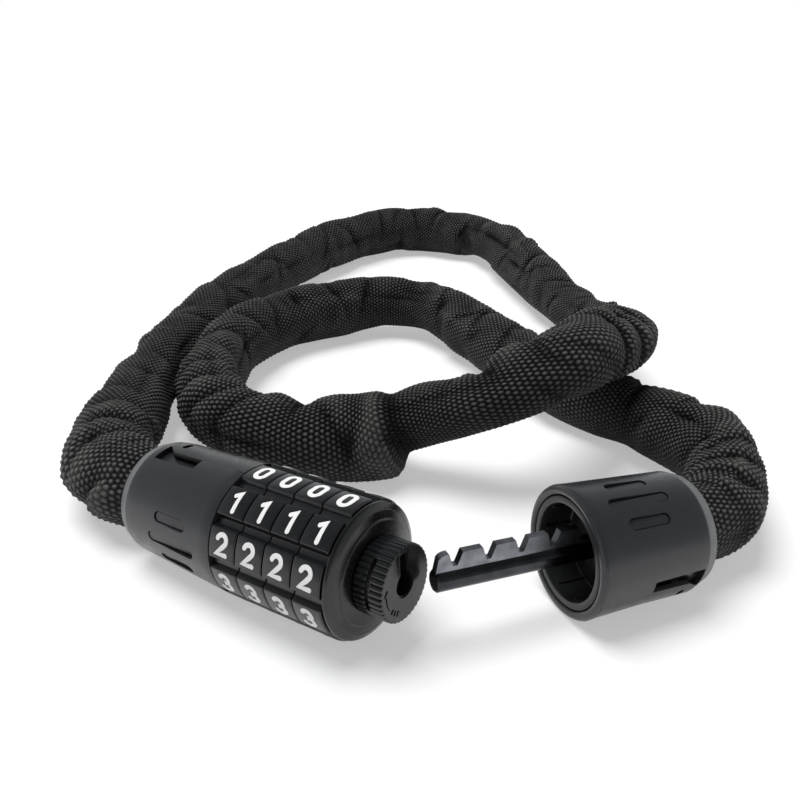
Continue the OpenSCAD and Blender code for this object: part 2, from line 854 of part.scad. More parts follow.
chain_links();
chain_sleeve();
sleeve_clamp_lock();
sleeve_clamp_socket();
lock_casing();
lock_clip();
lock_body();
core_tube();
lock_anchor_pin();
wheel_spring();
detent_spring();
code_wheel(0);  // code_wheel_1
code_wheel(1);  // code_wheel_2
code_wheel(2);  // code_wheel_3
code_wheel(3);  // code_wheel_4
dial(0);  // dial_1
dial(1);  // dial_2
dial(2);  // dial_3
dial(3);  // dial_4
end_cap();
knob_clip();
reset_knob();
socket_casing();
socket_liner();
socket_clip();
socket_body();
bolt();
bolt_pin();
socket_anchor_pin();
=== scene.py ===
"""Looks of a combination chain lock: two barrels on a chain in a woven sleeve."""
from __future__ import annotations

import json
import logging
import math
from dataclasses import dataclass, field
from enum import Enum

import bmesh
import bpy
import numpy as np
from mathutils import Matrix, Vector

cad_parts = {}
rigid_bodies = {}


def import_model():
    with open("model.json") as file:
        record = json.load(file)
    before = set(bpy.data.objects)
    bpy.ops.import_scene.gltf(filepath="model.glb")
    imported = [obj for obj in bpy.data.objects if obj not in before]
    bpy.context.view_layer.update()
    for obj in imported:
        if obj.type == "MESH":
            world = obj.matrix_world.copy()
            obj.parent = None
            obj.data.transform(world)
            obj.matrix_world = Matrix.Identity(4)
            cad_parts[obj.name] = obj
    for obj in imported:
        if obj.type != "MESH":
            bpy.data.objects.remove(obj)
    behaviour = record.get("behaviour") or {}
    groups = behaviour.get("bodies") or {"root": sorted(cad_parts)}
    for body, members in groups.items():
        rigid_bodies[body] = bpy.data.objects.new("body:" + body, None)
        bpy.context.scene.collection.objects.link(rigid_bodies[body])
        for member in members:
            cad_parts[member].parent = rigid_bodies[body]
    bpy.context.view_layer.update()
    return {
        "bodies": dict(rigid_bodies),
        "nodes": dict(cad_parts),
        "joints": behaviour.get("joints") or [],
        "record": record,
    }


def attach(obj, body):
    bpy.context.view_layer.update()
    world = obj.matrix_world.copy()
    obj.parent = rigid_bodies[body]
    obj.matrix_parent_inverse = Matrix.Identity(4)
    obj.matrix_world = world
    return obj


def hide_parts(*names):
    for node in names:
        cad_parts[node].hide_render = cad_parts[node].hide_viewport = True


LOG = logging.getLogger("chain_lock")
MM = 0.001

FRAME: dict = {}

Point = tuple[float, float, float]
Outline = list[tuple[float, float]]
Materials = dict[str, bpy.types.Material]


class Side(Enum):
    """Which of the two barrels a shape belongs to."""

    DIALS = "dials"
    SOCKET = "socket"


@dataclass(frozen=True)
class Place:
    """Where a barrel lies: its own +Z runs along it, its +X points up and its +Y to the front.

    The fields are millimetres and degrees.
    """

    x: float
    y: float
    radius: float
    yaw: float
    tilt: float

    def matrix(self) -> Matrix:
        """Returns the matrix from the barrel's millimetres to the world's metres."""
        height = self.radius * math.cos(math.radians(self.tilt))
        shift = Matrix.Translation(Vector((self.x, self.y, height)) * MM)
        turn = Matrix.Rotation(math.radians(self.yaw), 4, "Z")
        lean = Matrix.Rotation(math.radians(-self.tilt), 4, "Y")
        along = Matrix.Rotation(math.radians(90), 4, "Y")
        roll = Matrix.Rotation(math.radians(180), 4, "Z")
        return shift @ turn @ lean @ along @ roll @ Matrix.Diagonal((MM, MM, MM, 1))


LOCK_PLACE = Place(-38.7, 0.7, 17.5, -35.6, math.degrees(math.atan(1.8 / 34.6)))
SOCKET_PLACE = Place(38.9, -9.6, 17.1, 23.0, -math.degrees(math.atan(1.4 / 33.0)))


# ---------------------------------------------------------------- finishes


def linear(code: str) -> tuple[float, float, float, float]:
    """Turns an sRGB hex colour into the linear one that a shader socket takes.

    Args:
        code: six hex digits with a leading #.

    Returns:
        Red, green, blue and an alpha of 1.
    """
    parts = [int(code[i : i + 2], 16) / 255 for i in (1, 3, 5)]
    return (*(c / 12.92 if c <= 0.04045 else ((c + 0.055) / 1.055) ** 2.4 for c in parts), 1.0)


def node(tree: bpy.types.NodeTree, kind: str, settings: dict | None = None,
         values: dict | None = None, links: dict | None = None) -> bpy.types.Node:
    """Adds one shader node.

    Args:
        tree: the material's tree.
        kind: the node's type name.
        settings: properties of the node.
        values: input values by socket name or number.
        links: sockets to join to inputs, by input name or number.

    Returns:
        The new node.
    """
    made = tree.nodes.new(kind)
    for name, value in (settings or {}).items():
        setattr(made, name, value)
    for name, value in (values or {}).items():
        made.inputs[name].default_value = value
    for name, socket in (links or {}).items():
        tree.links.new(socket, made.inputs[name])
    return made


def new_material(name: str) -> tuple[bpy.types.Material, bpy.types.NodeTree, bpy.types.Node]:
    """Makes an empty node material.

    Args:
        name: the finish's name.

    Returns:
        The material, its tree and its surface shader.
    """
    material = bpy.data.materials.new(name)
    material.use_nodes = True
    tree = material.node_tree
    tree.nodes.clear()
    shader = node(tree, "ShaderNodeBsdfPrincipled")
    node(tree, "ShaderNodeOutputMaterial", links={"Surface": shader.outputs["BSDF"]})
    return material, tree, shader


def noise_mm(tree: bpy.types.NodeTree, size_mm: float, detail: float = 2.0,
             stretch: Point = (1.0, 1.0, 1.0)) -> bpy.types.NodeSocket:
    """Adds a noise whose grains have a real size.

    Args:
        tree: the material's tree.
        size_mm: size of a grain in millimetres.
        detail: octaves of the noise.
        stretch: scale of the three object axes.

    Returns:
        The noise's value from 0 to 1.
    """
    place = node(tree, "ShaderNodeTexCoord")
    mapping = node(tree, "ShaderNodeMapping", values={"Scale": stretch},
                   links={"Vector": place.outputs["Object"]})
    grain = node(tree, "ShaderNodeTexNoise",
                 values={"Scale": 1 / (size_mm * MM), "Detail": detail},
                 links={"Vector": mapping.outputs["Vector"]})
    return grain.outputs["Fac"]


def ramp(tree: bpy.types.NodeTree, source: bpy.types.NodeSocket, low: float, high: float,
         to_low: float = 0.0, to_high: float = 1.0) -> bpy.types.NodeSocket:
    """Adds a clamped linear step.

    Args:
        tree: the material's tree.
        source: the value that steps.
        low: value at which the step starts.
        high: value at which it ends.
        to_low: result at low.
        to_high: result at high.

    Returns:
        The stepped value.
    """
    step = node(tree, "ShaderNodeMapRange", {"clamp": True},
                {"From Min": low, "From Max": high, "To Min": to_low, "To Max": to_high},
                {"Value": source})
    return step.outputs["Result"]


def calc(tree: bpy.types.NodeTree, operation: str, links: dict,
         values: dict | None = None) -> bpy.types.NodeSocket:
    """Adds a maths node.

    Args:
        tree: the material's tree.
        operation: what the node does.
        links: sockets to join to inputs, by number.
        values: input values by number.

    Returns:
        The result.
    """
    return node(tree, "ShaderNodeMath", {"operation": operation}, values, links).outputs[0]


def mixed(tree: bpy.types.NodeTree, plain: str | bpy.types.NodeSocket, other: str,
          share: bpy.types.NodeSocket) -> bpy.types.NodeSocket:
    """Mixes a second colour into a first one.

    Args:
        tree: the material's tree.
        plain: the first colour, as a hex code or as a socket.
        other: hex code of the second colour.
        share: how much of the second colour shows.

    Returns:
        The mixed colour.
    """
    mix = node(tree, "ShaderNodeMix", {"data_type": "RGBA"}, {7: linear(other)}, {0: share})
    if isinstance(plain, str):
        mix.inputs[6].default_value = linear(plain)
    else:
        tree.links.new(plain, mix.inputs[6])
    return mix.outputs[2]


def add_bump(tree: bpy.types.NodeTree, shader: bpy.types.Node, height: bpy.types.NodeSocket,
             strength: float, high_mm: float) -> None:
    """Gives a finish its raised texture.

    Args:
        tree: the material's tree.
        shader: its surface shader.
        height: the height from 0 to 1.
        strength: strength of the bump.
        high_mm: the height in millimetres that 1 stands for.
    """
    bump = node(tree, "ShaderNodeBump", values={"Strength": strength, "Distance": high_mm * MM},
                links={"Height": height})
    tree.links.new(bump.outputs["Normal"], shader.inputs["Normal"])


@dataclass(frozen=True)
class Lacquer:
    """Sprayed lacquer on a casting: dark, even, with a fine spray texture and a little dust."""

    name: str
    colour: str
    dust: str
    roughness: float
    grain_mm: float = 0.35
    bump_mm: float = 0.012
    dust_share: float = 0.5

    def make(self) -> bpy.types.Material:
        """Returns the lacquer as a material."""
        material, tree, shader = new_material(self.name)
        # Spray texture: grains of a third of a millimetre, barely raised
        grain = noise_mm(tree, self.grain_mm)
        # Dust and rub marks lie in soft patches with fine specks in them
        patch = ramp(tree, noise_mm(tree, 9.0, 3.0), 0.42, 0.72)
        speck = ramp(tree, noise_mm(tree, 0.22, 1.0), 0.66, 0.8)
        both = calc(tree, "MULTIPLY", {0: patch, 1: speck})
        share = calc(tree, "MULTIPLY", {0: both}, {1: self.dust_share})
        tree.links.new(mixed(tree, self.colour, self.dust, share), shader.inputs["Base Color"])
        rough = ramp(tree, noise_mm(tree, 3.0, 3.0), 0.3, 0.7,
                     self.roughness - 0.04, self.roughness + 0.05)
        tree.links.new(rough, shader.inputs["Roughness"])
        add_bump(tree, shader, grain, 0.5, self.bump_mm)
        shader.inputs["IOR"].default_value = 1.5
        return material


@dataclass(frozen=True)
class Metal:
    """Bare or plated metal with fine turning marks."""

    name: str
    colour: str
    shade: str
    roughness: float
    mark_mm: float = 0.15

    def make(self) -> bpy.types.Material:
        """Returns the metal as a material."""
        material, tree, shader = new_material(self.name)
        marks = noise_mm(tree, self.mark_mm, 2.0)
        stain = ramp(tree, noise_mm(tree, 4.0, 4.0), 0.35, 0.7)
        tree.links.new(mixed(tree, self.colour, self.shade, stain), shader.inputs["Base Color"])
        rough = ramp(tree, marks, 0.3, 0.7, self.roughness - 0.06, self.roughness + 0.08)
        tree.links.new(rough, shader.inputs["Roughness"])
        add_bump(tree, shader, marks, 0.3, 0.01)
        shader.inputs["Metallic"].default_value = 1.0
        return material


@dataclass(frozen=True)
class Moulded:
    """Moulded plastic with a scuffed, slightly dusty skin."""

    name: str
    colour: str
    scuff: str
    roughness: float

    def make(self) -> bpy.types.Material:
        """Returns the plastic as a material."""
        material, tree, shader = new_material(self.name)
        scuff = ramp(tree, noise_mm(tree, 0.7, 4.0, (1.0, 1.0, 2.2)), 0.6, 0.85, 0.0, 0.7)
        tree.links.new(mixed(tree, self.colour, self.scuff, scuff), shader.inputs["Base Color"])
        rough = ramp(tree, scuff, 0.0, 1.0, self.roughness, self.roughness + 0.2)
        tree.links.new(rough, shader.inputs["Roughness"])
        add_bump(tree, shader, scuff, 0.4, 0.02)
        shader.inputs["IOR"].default_value = 1.47
        return material


@dataclass(frozen=True)
class Ink:
    """Thick screen-printed ink: matt, opaque and very slightly uneven."""

    name: str
    colour: str

    def make(self) -> bpy.types.Material:
        """Returns the ink as a material."""
        material, tree, shader = new_material(self.name)
        uneven = ramp(tree, noise_mm(tree, 0.6, 2.0), 0.3, 0.7, 0.42, 0.55)
        tree.links.new(uneven, shader.inputs["Roughness"])
        shader.inputs["Base Color"].default_value = linear(self.colour)
        shader.inputs["IOR"].default_value = 1.5
        return material


@dataclass(frozen=True)
class Weave:
    """Woven nylon: round floats of thick yarn in staggered rows, with dark painted shade in the
    gaps between and a painted highlight on their tops.
    """

    name: str
    # The gap colour is painted shade between the floats, and the lit colour a painted highlight on
    # their tops
    gap: str
    yarn: str
    lit: str
    bump_mm: float = 1.0

    def make(self) -> bpy.types.Material:
        """Returns the cloth as a material. Its UV map counts yarns along and round the sleeve."""
        material, tree, shader = new_material(self.name)
        uv = node(tree, "ShaderNodeUVMap", {"uv_map": "yarns"})
        # Yarns wander by a fraction of their pitch
        wobble = node(tree, "ShaderNodeTexNoise", values={"Scale": 0.3, "Detail": 2.0},
                      links={"Vector": uv.outputs["UV"]})
        offset = node(tree, "ShaderNodeVectorMath", {"operation": "MULTIPLY_ADD"},
                      {1: (0.4, 0.4, 0.0)}, {0: wobble.outputs["Color"], 2: uv.outputs["UV"]})
        split = node(tree, "ShaderNodeSeparateXYZ", links={"Vector": offset.outputs["Vector"]})
        waves = []
        for axis, turns in (("X", 1.0), ("Y", 1.0), ("X", 2.0)):
            angle = calc(tree, "MULTIPLY", {0: split.outputs[axis]}, {1: math.pi * turns})
            waves.append(calc(tree, "COSINE", {0: angle}))
        # The product of two waves and one of half their length pile up into staggered floats
        pair = calc(tree, "MULTIPLY", {0: waves[0], 1: waves[1]})
        float_up = calc(tree, "MULTIPLY_ADD", {0: pair, 2: waves[2]}, {1: 2.0})
        height = ramp(tree, float_up, -1.4, 2.2)
        fibre = node(tree, "ShaderNodeTexNoise", values={"Scale": 3.5, "Detail": 3.0},
                     links={"Vector": uv.outputs["UV"]}).outputs["Fac"]
        fuzz = ramp(tree, fibre, 0.3, 0.7, -0.1, 0.1)
        full = calc(tree, "ADD", {0: height, 1: fuzz})
        # Soft patches at random are rubbed paler, the ridges of the folds get a painted highlight
        # and their creases a painted shade
        patch = ramp(tree, noise_mm(tree, 14.0, 3.0), 0.4, 0.72, 0.0, 0.12)
        fold = node(tree, "ShaderNodeAttribute", {"attribute_name": "painted_fold_light"}).outputs["Fac"]
        lightening = calc(tree, "ADD", {0: patch, 1: ramp(tree, fold, -0.1, 0.8, 0.0, 0.45)})
        raised = calc(tree, "ADD", {0: full, 1: lightening})
        # Painted shade darkens the gaps between the floats, and a painted highlight lightens the
        # float tops
        body = mixed(tree, self.gap, self.yarn, ramp(tree, full, 0.02, 0.34))
        tip = mixed(tree, body, self.lit, ramp(tree, raised, 0.3, 1.2))
        # The deepest creases of the folds get painted shade
        deep = mixed(tree, tip, self.gap, ramp(tree, fold, -0.12, -0.75, 0.0, 0.8))
        tree.links.new(deep, shader.inputs["Base Color"])
        add_bump(tree, shader, full, 1.0, self.bump_mm)
        shader.inputs["Roughness"].default_value = 0.7
        shader.inputs["IOR"].default_value = 1.53
        shader.inputs["Specular IOR Level"].default_value = 0.22
        return material


FINISHES: list[Lacquer | Metal | Moulded | Ink | Weave] = [
    Lacquer("casing_lacquer", "#28292c", "#8a8a8a", 0.3, dust_share=0.12),
    Lacquer("rim_lacquer", "#5b5d60", "#9a9a9a", 0.42, dust_share=0.4),
    Lacquer("dial_lacquer", "#161719", "#8a8a8a", 0.22, dust_share=0.3),
    Lacquer("cap_lacquer", "#0f1011", "#9a9a9a", 0.24, dust_share=0.6),
    Lacquer("knob_lacquer", "#18191a", "#9a9a9a", 0.19, dust_share=0.5),
    Lacquer("clip_steel", "#141516", "#8a8a8a", 0.28, dust_share=0.25),
    Metal("clamp_steel", "#b9babd", "#8d8e92", 0.32),
    Metal("body_zinc", "#8f9195", "#6f7175", 0.5),
    Metal("core_steel", "#6a6b6e", "#4a4b4e", 0.35),
    Metal("pin_steel", "#c4c5c8", "#9a9b9f", 0.3),
    Metal("spring_steel", "#c9cacd", "#9a9b9f", 0.28),
    Metal("wheel_brass", "#c2a35a", "#9a7f42", 0.35),
    Metal("chain_steel", "#8f9296", "#6c6f73", 0.35),
    Metal("bolt_nickel", "#46474a", "#36373a", 0.2),
    Metal("fin_nickel", "#85888d", "#5c5e62", 0.34),
    Moulded("liner_plastic", "#1d1e1f", "#6d6d6a", 0.4),
    Ink("digit_ink", "#f1f1f0"),
    # The sleeve's gap colour is painted shade, and its lit colour a painted highlight
    Weave("sleeve_weave", "#070807", "#2b2c2b", "#6c6e6a"),
]


# ---------------------------------------------------------------- mesh helpers


# Angle in degrees above which an edge stays sharp
SHARP = 35.0


def only(geom: list, kind: type) -> list:
    """Returns the elements of one kind, in their order."""
    return [element for element in geom if isinstance(element, kind)]


def placed(shape: bmesh.types.BMesh, matrix: Matrix) -> bmesh.types.BMesh:
    """Moves a shape by a matrix and returns it."""
    bmesh.ops.transform(shape, matrix=matrix, verts=shape.verts)
    return shape


def pour(shape: bmesh.types.BMesh, joined: bmesh.types.BMesh) -> None:
    """Moves all of a shape into another one, and frees it."""
    part = bpy.data.meshes.new("part")
    shape.to_mesh(part)
    shape.free()
    joined.from_mesh(part)
    bpy.data.meshes.remove(part)


def shade(mesh: bpy.types.Mesh, sharp: float = SHARP) -> None:
    """Shades a mesh smooth, apart from the edges above an angle in degrees."""
    mesh.polygons.foreach_set("use_smooth", [True] * len(mesh.polygons))
    mesh.set_sharp_from_angle(angle=math.radians(sharp))


def to_object(bm: bmesh.types.BMesh, name: str, material: bpy.types.Material,
              matrix: Matrix | None = None, sharp: float = SHARP,
              recalc: bool = True) -> bpy.types.Object:
    """Turns a bmesh into an object that sits at the origin.

    Args:
        bm: the mesh; it is freed.
        name: the piece's name.
        material: its finish.
        matrix: place of the piece, put into its mesh.
        sharp: angle in degrees above which an edge stays sharp.
        recalc: whether faces are turned outwards.

    Returns:
        The new object.
    """
    if matrix is not None:
        placed(bm, matrix)
    if recalc:
        bmesh.ops.recalc_face_normals(bm, faces=bm.faces)
    mesh = bpy.data.meshes.new(name)
    bm.to_mesh(mesh)
    bm.free()
    shade(mesh, sharp)
    mesh.materials.append(material)
    made = bpy.data.objects.new(name, mesh)
    bpy.context.scene.collection.objects.link(made)
    return made


def turned(profile: Outline, steps: int = 128) -> bmesh.types.BMesh:
    """Spins a closed outline round the Z axis.

    Args:
        profile: points of radius and height, in order round the outline.
        steps: faces round the axis.

    Returns:
        The turned ring.
    """
    bm = bmesh.new()
    verts = [bm.verts.new((r, 0, z)) for r, z in profile]
    edges = [bm.edges.new((verts[i], verts[(i + 1) % len(verts)])) for i in range(len(verts))]
    bmesh.ops.spin(bm, geom=verts + edges, cent=(0, 0, 0), axis=(0, 0, 1),
                   angle=math.radians(360), steps=steps, use_merge=True, use_duplicate=False)
    bmesh.ops.remove_doubles(bm, verts=bm.verts, dist=1e-4)
    bmesh.ops.recalc_face_normals(bm, faces=bm.faces)
    return bm


def bow(cx: float, cy: float, rx: float, ry: float, start: float, end: float,
        steps: int = 16) -> Outline:
    """Returns points of an elliptic arc from one angle in degrees to another."""
    turns = [math.radians(start + (end - start) * k / steps) for k in range(steps + 1)]
    return [(cx + rx * math.cos(a), cy + ry * math.sin(a)) for a in turns]


def arc(cx: float, cz: float, radius: float, start: float, end: float, steps: int = 5) -> Outline:
    """Returns points of a round arc in a profile, from one angle in degrees to another."""
    return bow(cx, cz, radius, radius, start, end, steps)


def ring_slot(inner: float, outer: float, start: float, end: float) -> Outline:
    """Returns the outline of a part of a ring between two angles in degrees."""
    return arc(0.0, 0.0, outer, start, end, 24) + arc(0.0, 0.0, inner, end, start, 24)


def thickened(bm: bmesh.types.BMesh, faces: list[bmesh.types.BMFace],
              height: float) -> bmesh.types.BMesh:
    """Extrudes flat faces upwards and returns their mesh, which is then closed."""
    grown = bmesh.ops.extrude_face_region(bm, geom=faces)["geom"]
    bmesh.ops.translate(bm, verts=only(grown, bmesh.types.BMVert), vec=(0, 0, height))
    bmesh.ops.recalc_face_normals(bm, faces=bm.faces)
    return bm


def prism(outline: Outline, low: float, high: float) -> bmesh.types.BMesh:
    """Extrudes an outline in the XY plane between two heights.

    Args:
        outline: points in order.
        low: height of the lower face.
        high: height of the upper face.

    Returns:
        The closed prism.
    """
    bm = bmesh.new()
    face = bm.faces.new([bm.verts.new((x, y, low)) for x, y in outline])
    return thickened(bm, [face], high - low)


def cut(target: bpy.types.Object, cutters: list[bmesh.types.BMesh], union: bool = False) -> None:
    """Cuts closed shapes out of a piece, or adds them to it, and applies the result.

    Args:
        target: the piece.
        cutters: the shapes; they are freed.
        union: adds the shapes instead of cutting them.
    """
    joined = bmesh.new()
    for shape in cutters:
        bmesh.ops.recalc_face_normals(shape, faces=shape.faces)
        pour(shape, joined)
    mesh = bpy.data.meshes.new("cutter")
    joined.to_mesh(mesh)
    joined.free()
    tool = bpy.data.objects.new("cutter", mesh)
    bpy.context.scene.collection.objects.link(tool)
    change = target.modifiers.new("cut", "BOOLEAN")
    change.operation = "UNION" if union else "DIFFERENCE"
    change.solver = "EXACT"
    change.use_self = True
    change.object = tool
    apply_modifiers(target)
    bpy.data.objects.remove(tool)
    bpy.data.meshes.remove(mesh)


def apply_modifiers(target: bpy.types.Object) -> None:
    """Applies the modifiers of a piece and shades it again."""
    depsgraph = bpy.context.evaluated_depsgraph_get()
    result = bpy.data.meshes.new_from_object(target.evaluated_get(depsgraph))
    old = target.data
    target.modifiers.clear()
    target.data = result
    result.name = old.name
    bpy.data.meshes.remove(old)
    shade(result)


def stadium(length: float, width: float, grow: float = 0.0, steps: int = 10) -> Outline:
    """Returns the outline of a round-ended slot along X, grown by a margin."""
    r = width / 2 + grow
    half = (length - width) / 2
    return arc(half, 0.0, r, -90, 90, steps) + arc(-half, 0.0, r, 90, 270, steps)


def ribbon(points: Outline, width: float, closed: bool, low: float,
           high: float) -> bmesh.types.BMesh:
    """Makes a plate of even width along a line, with round ends where the line is open.

    Args:
        points: the middle line.
        width: width of the plate.
        closed: whether the line closes on itself.
        low: height of the plate's lower face.
        high: height of its upper face.

    Returns:
        The closed plate.
    """
    line = [Vector(p) for p in points]
    count = len(line)
    half = width / 2
    sides: tuple[list[Vector], list[Vector]] = ([], [])
    for k in range(count):
        before = line[k] - line[k - 1] if closed or k else line[1] - line[0]
        after = line[(k + 1) % count] - line[k] if closed or k < count - 1 else before
        before, after = before.normalized(), after.normalized()
        normal = Vector((-before.y - after.y, before.x + after.x))
        # A corner reaches out no further than 1.7 times half the width
        reach = min(2 / max(normal.length, 1e-6), 1.7)
        normal = normal.normalized() * half * reach
        sides[0].append(line[k] + normal)
        sides[1].append(line[k] - normal)
    if not closed:
        return prism([*map(tuple, sides[1]), *round_end(line[-1], line[-1] - line[-2], half),
                      *map(tuple, reversed(sides[0])),
                      *round_end(line[0], line[0] - line[1], half)], low, high)
    bm = bmesh.new()
    edges = []
    for side in sides:
        verts = [bm.verts.new((p.x, p.y, low)) for p in side]
        edges += [bm.edges.new((verts[k], verts[(k + 1) % count])) for k in range(count)]
    return thickened(bm, bmesh.ops.bridge_loops(bm, edges=edges)["faces"], high - low)


def round_end(tip: Vector, ahead: Vector, radius: float) -> Outline:
    """Returns points of a half circle round the tip of a line that points ahead."""
    middle = math.atan2(ahead.y, ahead.x)
    turns = [middle + math.radians(t) for t in range(-75, 76, 15)]
    return [tuple(tip + radius * Vector((math.cos(t), math.sin(t)))) for t in turns]


def turn_of(vert: bmesh.types.BMVert) -> float:
    """Returns a vertex's angle round the Z axis, from 0 to a full turn in radians."""
    return math.atan2(vert.co.y, vert.co.x) % (2 * math.pi)


# ---------------------------------------------------------------- sleeve

ROUTE: list[tuple[float, float, float, float]] = [
    (-77.5, 31, 15, 11.5), (-88, 46, 14, 13), (-94, 71, 13.2, 12.5), (-97, 109, 12.6, 12),
    (-93, 162, 12.6, 12.2), (-80, 223, 13, 12.6), (-55, 288, 13.3, 13), (-26, 335, 13.3, 13),
    (3, 351, 13.3, 13), (33, 340, 12.8, 12.5), (54, 307, 12.8, 12.5), (68, 245, 13, 12.5),
    (78.5, 185, 15.3, 12.2), (83, 135, 25, 12), (76, 105, 34, 12), (62, 79, 38.4, 12),
    (45, 60, 38, 12), (26, 54, 31, 12), (7, 60, 22, 12), (-12, 63, 15, 12.5), (-33, 64, 13, 12.5),
    (-50, 69, 12.8, 12.2), (-63, 84, 12.6, 12), (-70, 111, 12.6, 12), (-69, 147, 12.6, 12),
    (-52, 183, 13, 12.7), (-16, 200, 13.3, 13), (14, 192, 12.8, 12.5), (36, 153, 12.5, 12.2),
    (60, 106, 11.8, 11.5), (82, 79, 12.4, 12), (96, 52, 14, 13), (93, 26.5, 15, 12.8),
    (83.2, 11.8, 15.2, 11.3),
]
NECK_R = 9.5
PIN_DEPTH = 11.0
NECK_STEPS = (0.0, 4.6 + NECK_R * math.sin(math.radians(8)) + 0.8, PIN_DEPTH + 2)
LOCK_PIN_Z = PIN_DEPTH - 37.0
SOCKET_PIN_Z = 35.4 - PIN_DEPTH

# How far the cloth reaches from the chain's middle line, by length along the sleeve:
# run, then reach to the right, upwards and to the left, all in millimetres
REACH: list[tuple[float, float, float, float]] = [
    (0, 9.5, 9.5, 9.5), (7, 9.3, 10.2, 10.4), (13, 9.2, 11.8, 15.2), (20, 10.0, 12.6, 17.0),
    (32, 10.8, 13.0, 17.0), (48, 11.4, 13.0, 15.8), (60, 13.0, 12.5, 15.0), (72, 13.8, 12.4, 14.0),
    (90, 13.2, 12.0, 12.0), (108, 12.2, 12.0, 9.8), (125, 12.0, 12.0, 10.4),
    (150, 12.0, 12.0, 11.2), (180, 12.2, 12.3, 12.3), (240, 12.6, 12.5, 11.6),
    (262, 13.0, 13.0, 10.8), (276, 13.0, 13.0, 9.8), (290, 13.0, 13.0, 11.2),
    (312, 13.2, 13.0, 12.0), (324, 13.4, 13.4, 14.0), (345, 13.8, 13.4, 14.4),
    (362, 14.6, 13.4, 15.0), (385, 14.2, 13.0, 13.2), (398, 14.6, 12.6, 12.4),
    (410, 13.0, 12.6, 13.2), (422, 9.6, 13.0, 14.4), (434, 9.2, 13.0, 14.4),
    (446, 10.2, 13.0, 14.4), (470, 11.8, 12.8, 14.2), (495, 12.0, 12.7, 14.0),
    (516, 12.8, 12.4, 13.2), (530, 13.0, 11.8, 11.6), (545, 12.2, 10.4, 8.8),
    (575, 12.0, 9.2, 8.6), (612, 12.0, 8.6, 8.6), (626, 11.4, 8.6, 9.6), (636, 11.0, 8.8, 12.4),
    (648, 10.6, 9.2, 14.4), (660, 10.8, 10.4, 14.8), (674, 12.0, 12.4, 14.8),
    (700, 12.4, 12.8, 13.6), (716, 12.0, 11.6, 12.4), (730, 10.2, 9.9, 10.4), (745, 9.7, 9.8, 9.5),
    (764, 9.8, 9.9, 9.3), (767, 12.8, 12.6, 15.0), (782, 12.8, 12.6, 15.4),
    (795, 11.6, 11.6, 12.8), (806, 12.6, 12.6, 11.6), (818, 11.2, 12.8, 12.2),
    (830, 9.9, 14.2, 14.2), (845, 9.6, 15.2, 15.0), (862, 9.8, 15.4, 15.0),
    (880, 10.6, 15.2, 13.4), (900, 9.8, 14.0, 11.4), (915, 11.5, 12.8, 12.0),
    (930, 13.2, 12.6, 12.4), (948, 14.0, 12.8, 12.2), (962, 13.0, 13.0, 12.5),
    (978, 9.8, 13.0, 13.2), (992, 9.0, 13.0, 13.5), (1004, 9.2, 13.0, 13.6),
    (1016, 11.0, 12.8, 13.4), (1030, 12.0, 12.5, 13.0), (1056, 12.4, 12.3, 13.6),
    (1072, 12.0, 12.0, 13.8), (1090, 12.0, 11.8, 12.4), (1110, 12.2, 11.7, 11.8),
    (1128, 12.0, 11.8, 11.0), (1142, 10.6, 11.0, 10.2), (1155, 12.0, 12.0, 10.8),
    (1168, 12.4, 12.8, 12.0), (1180, 12.3, 13.0, 11.5), (1190, 13.0, 13.0, 9.6),
    (1202, 14.0, 12.8, 9.6), (1214, 12.4, 11.8, 11.0), (1226, 10.2, 10.4, 10.6),
    (1240, 9.5, 9.5, 9.5),
]

# Share of the plain radius on the underside: less where the cloth is pinched round the chain, and
# more where it hangs slack
UNDERSIDE: list[tuple[float, float]] = [
    (0, 1.0), (8, 1.1), (20, 1.16), (34, 1.1), (50, 1.0), (410, 1.0), (424, 0.72), (440, 0.76),
    (456, 0.96), (618, 1.0), (640, 1.2), (662, 1.18), (684, 1.0), (706, 0.86), (730, 0.76),
    (764, 0.76), (767, 1.34), (784, 1.2), (802, 1.0), (966, 1.0), (984, 0.72), (1008, 0.74),
    (1024, 1.0), (1240, 1.0),
]


class Crumple(Enum):
    """What a local change of the cloth looks like."""

    SWELL = "swell"
    CROSS = "crease across the sleeve"
    LONG = "crease along the sleeve"


@dataclass(frozen=True)
class Fold:
    """One swelling or crease of the cloth. Lengths are millimetres and angles degrees.

    The angle goes round the sleeve from its right side over its top. The skew is how far the
    fold slants along the sleeve for each quarter turn. The lip says which side of a crease
    across the sleeve is the steep one: 1 for the side where the run is smaller.
    """

    kind: Crumple
    run: float
    angle: float
    rise: float
    length: float
    spread: float
    skew: float = 0.0
    lip: int = 1

    def rises(self, run: np.ndarray, angle: np.ndarray) -> np.ndarray:
        """Works out the fold's share of the relief.

        Args:
            run: lengths along the sleeve, as a column.
            angle: angles round it in radians, as a row.

        Returns:
            The rise in millimetres, by length and angle.
        """
        away = (angle - math.radians(self.angle) + math.pi) % (2 * math.pi) - math.pi
        along = (run - self.run - self.skew * away / (math.pi / 2)) / self.length
        across = away / math.radians(self.spread)
        if self.kind is Crumple.CROSS:
            # One lip of the fold drops sharply over the other, which rises slowly
            steep = np.where(along * self.lip < 0, 3.0, 0.8)
            return self.rise * np.exp(-steep * np.abs(along) - across ** 2)
        if self.kind is Crumple.LONG:
            return self.rise * np.exp(-along ** 2 - 1.3 * np.abs(across))
        return self.rise * np.exp(-along ** 2 - across ** 2)


SWELL, CROSS, LONG = Crumple
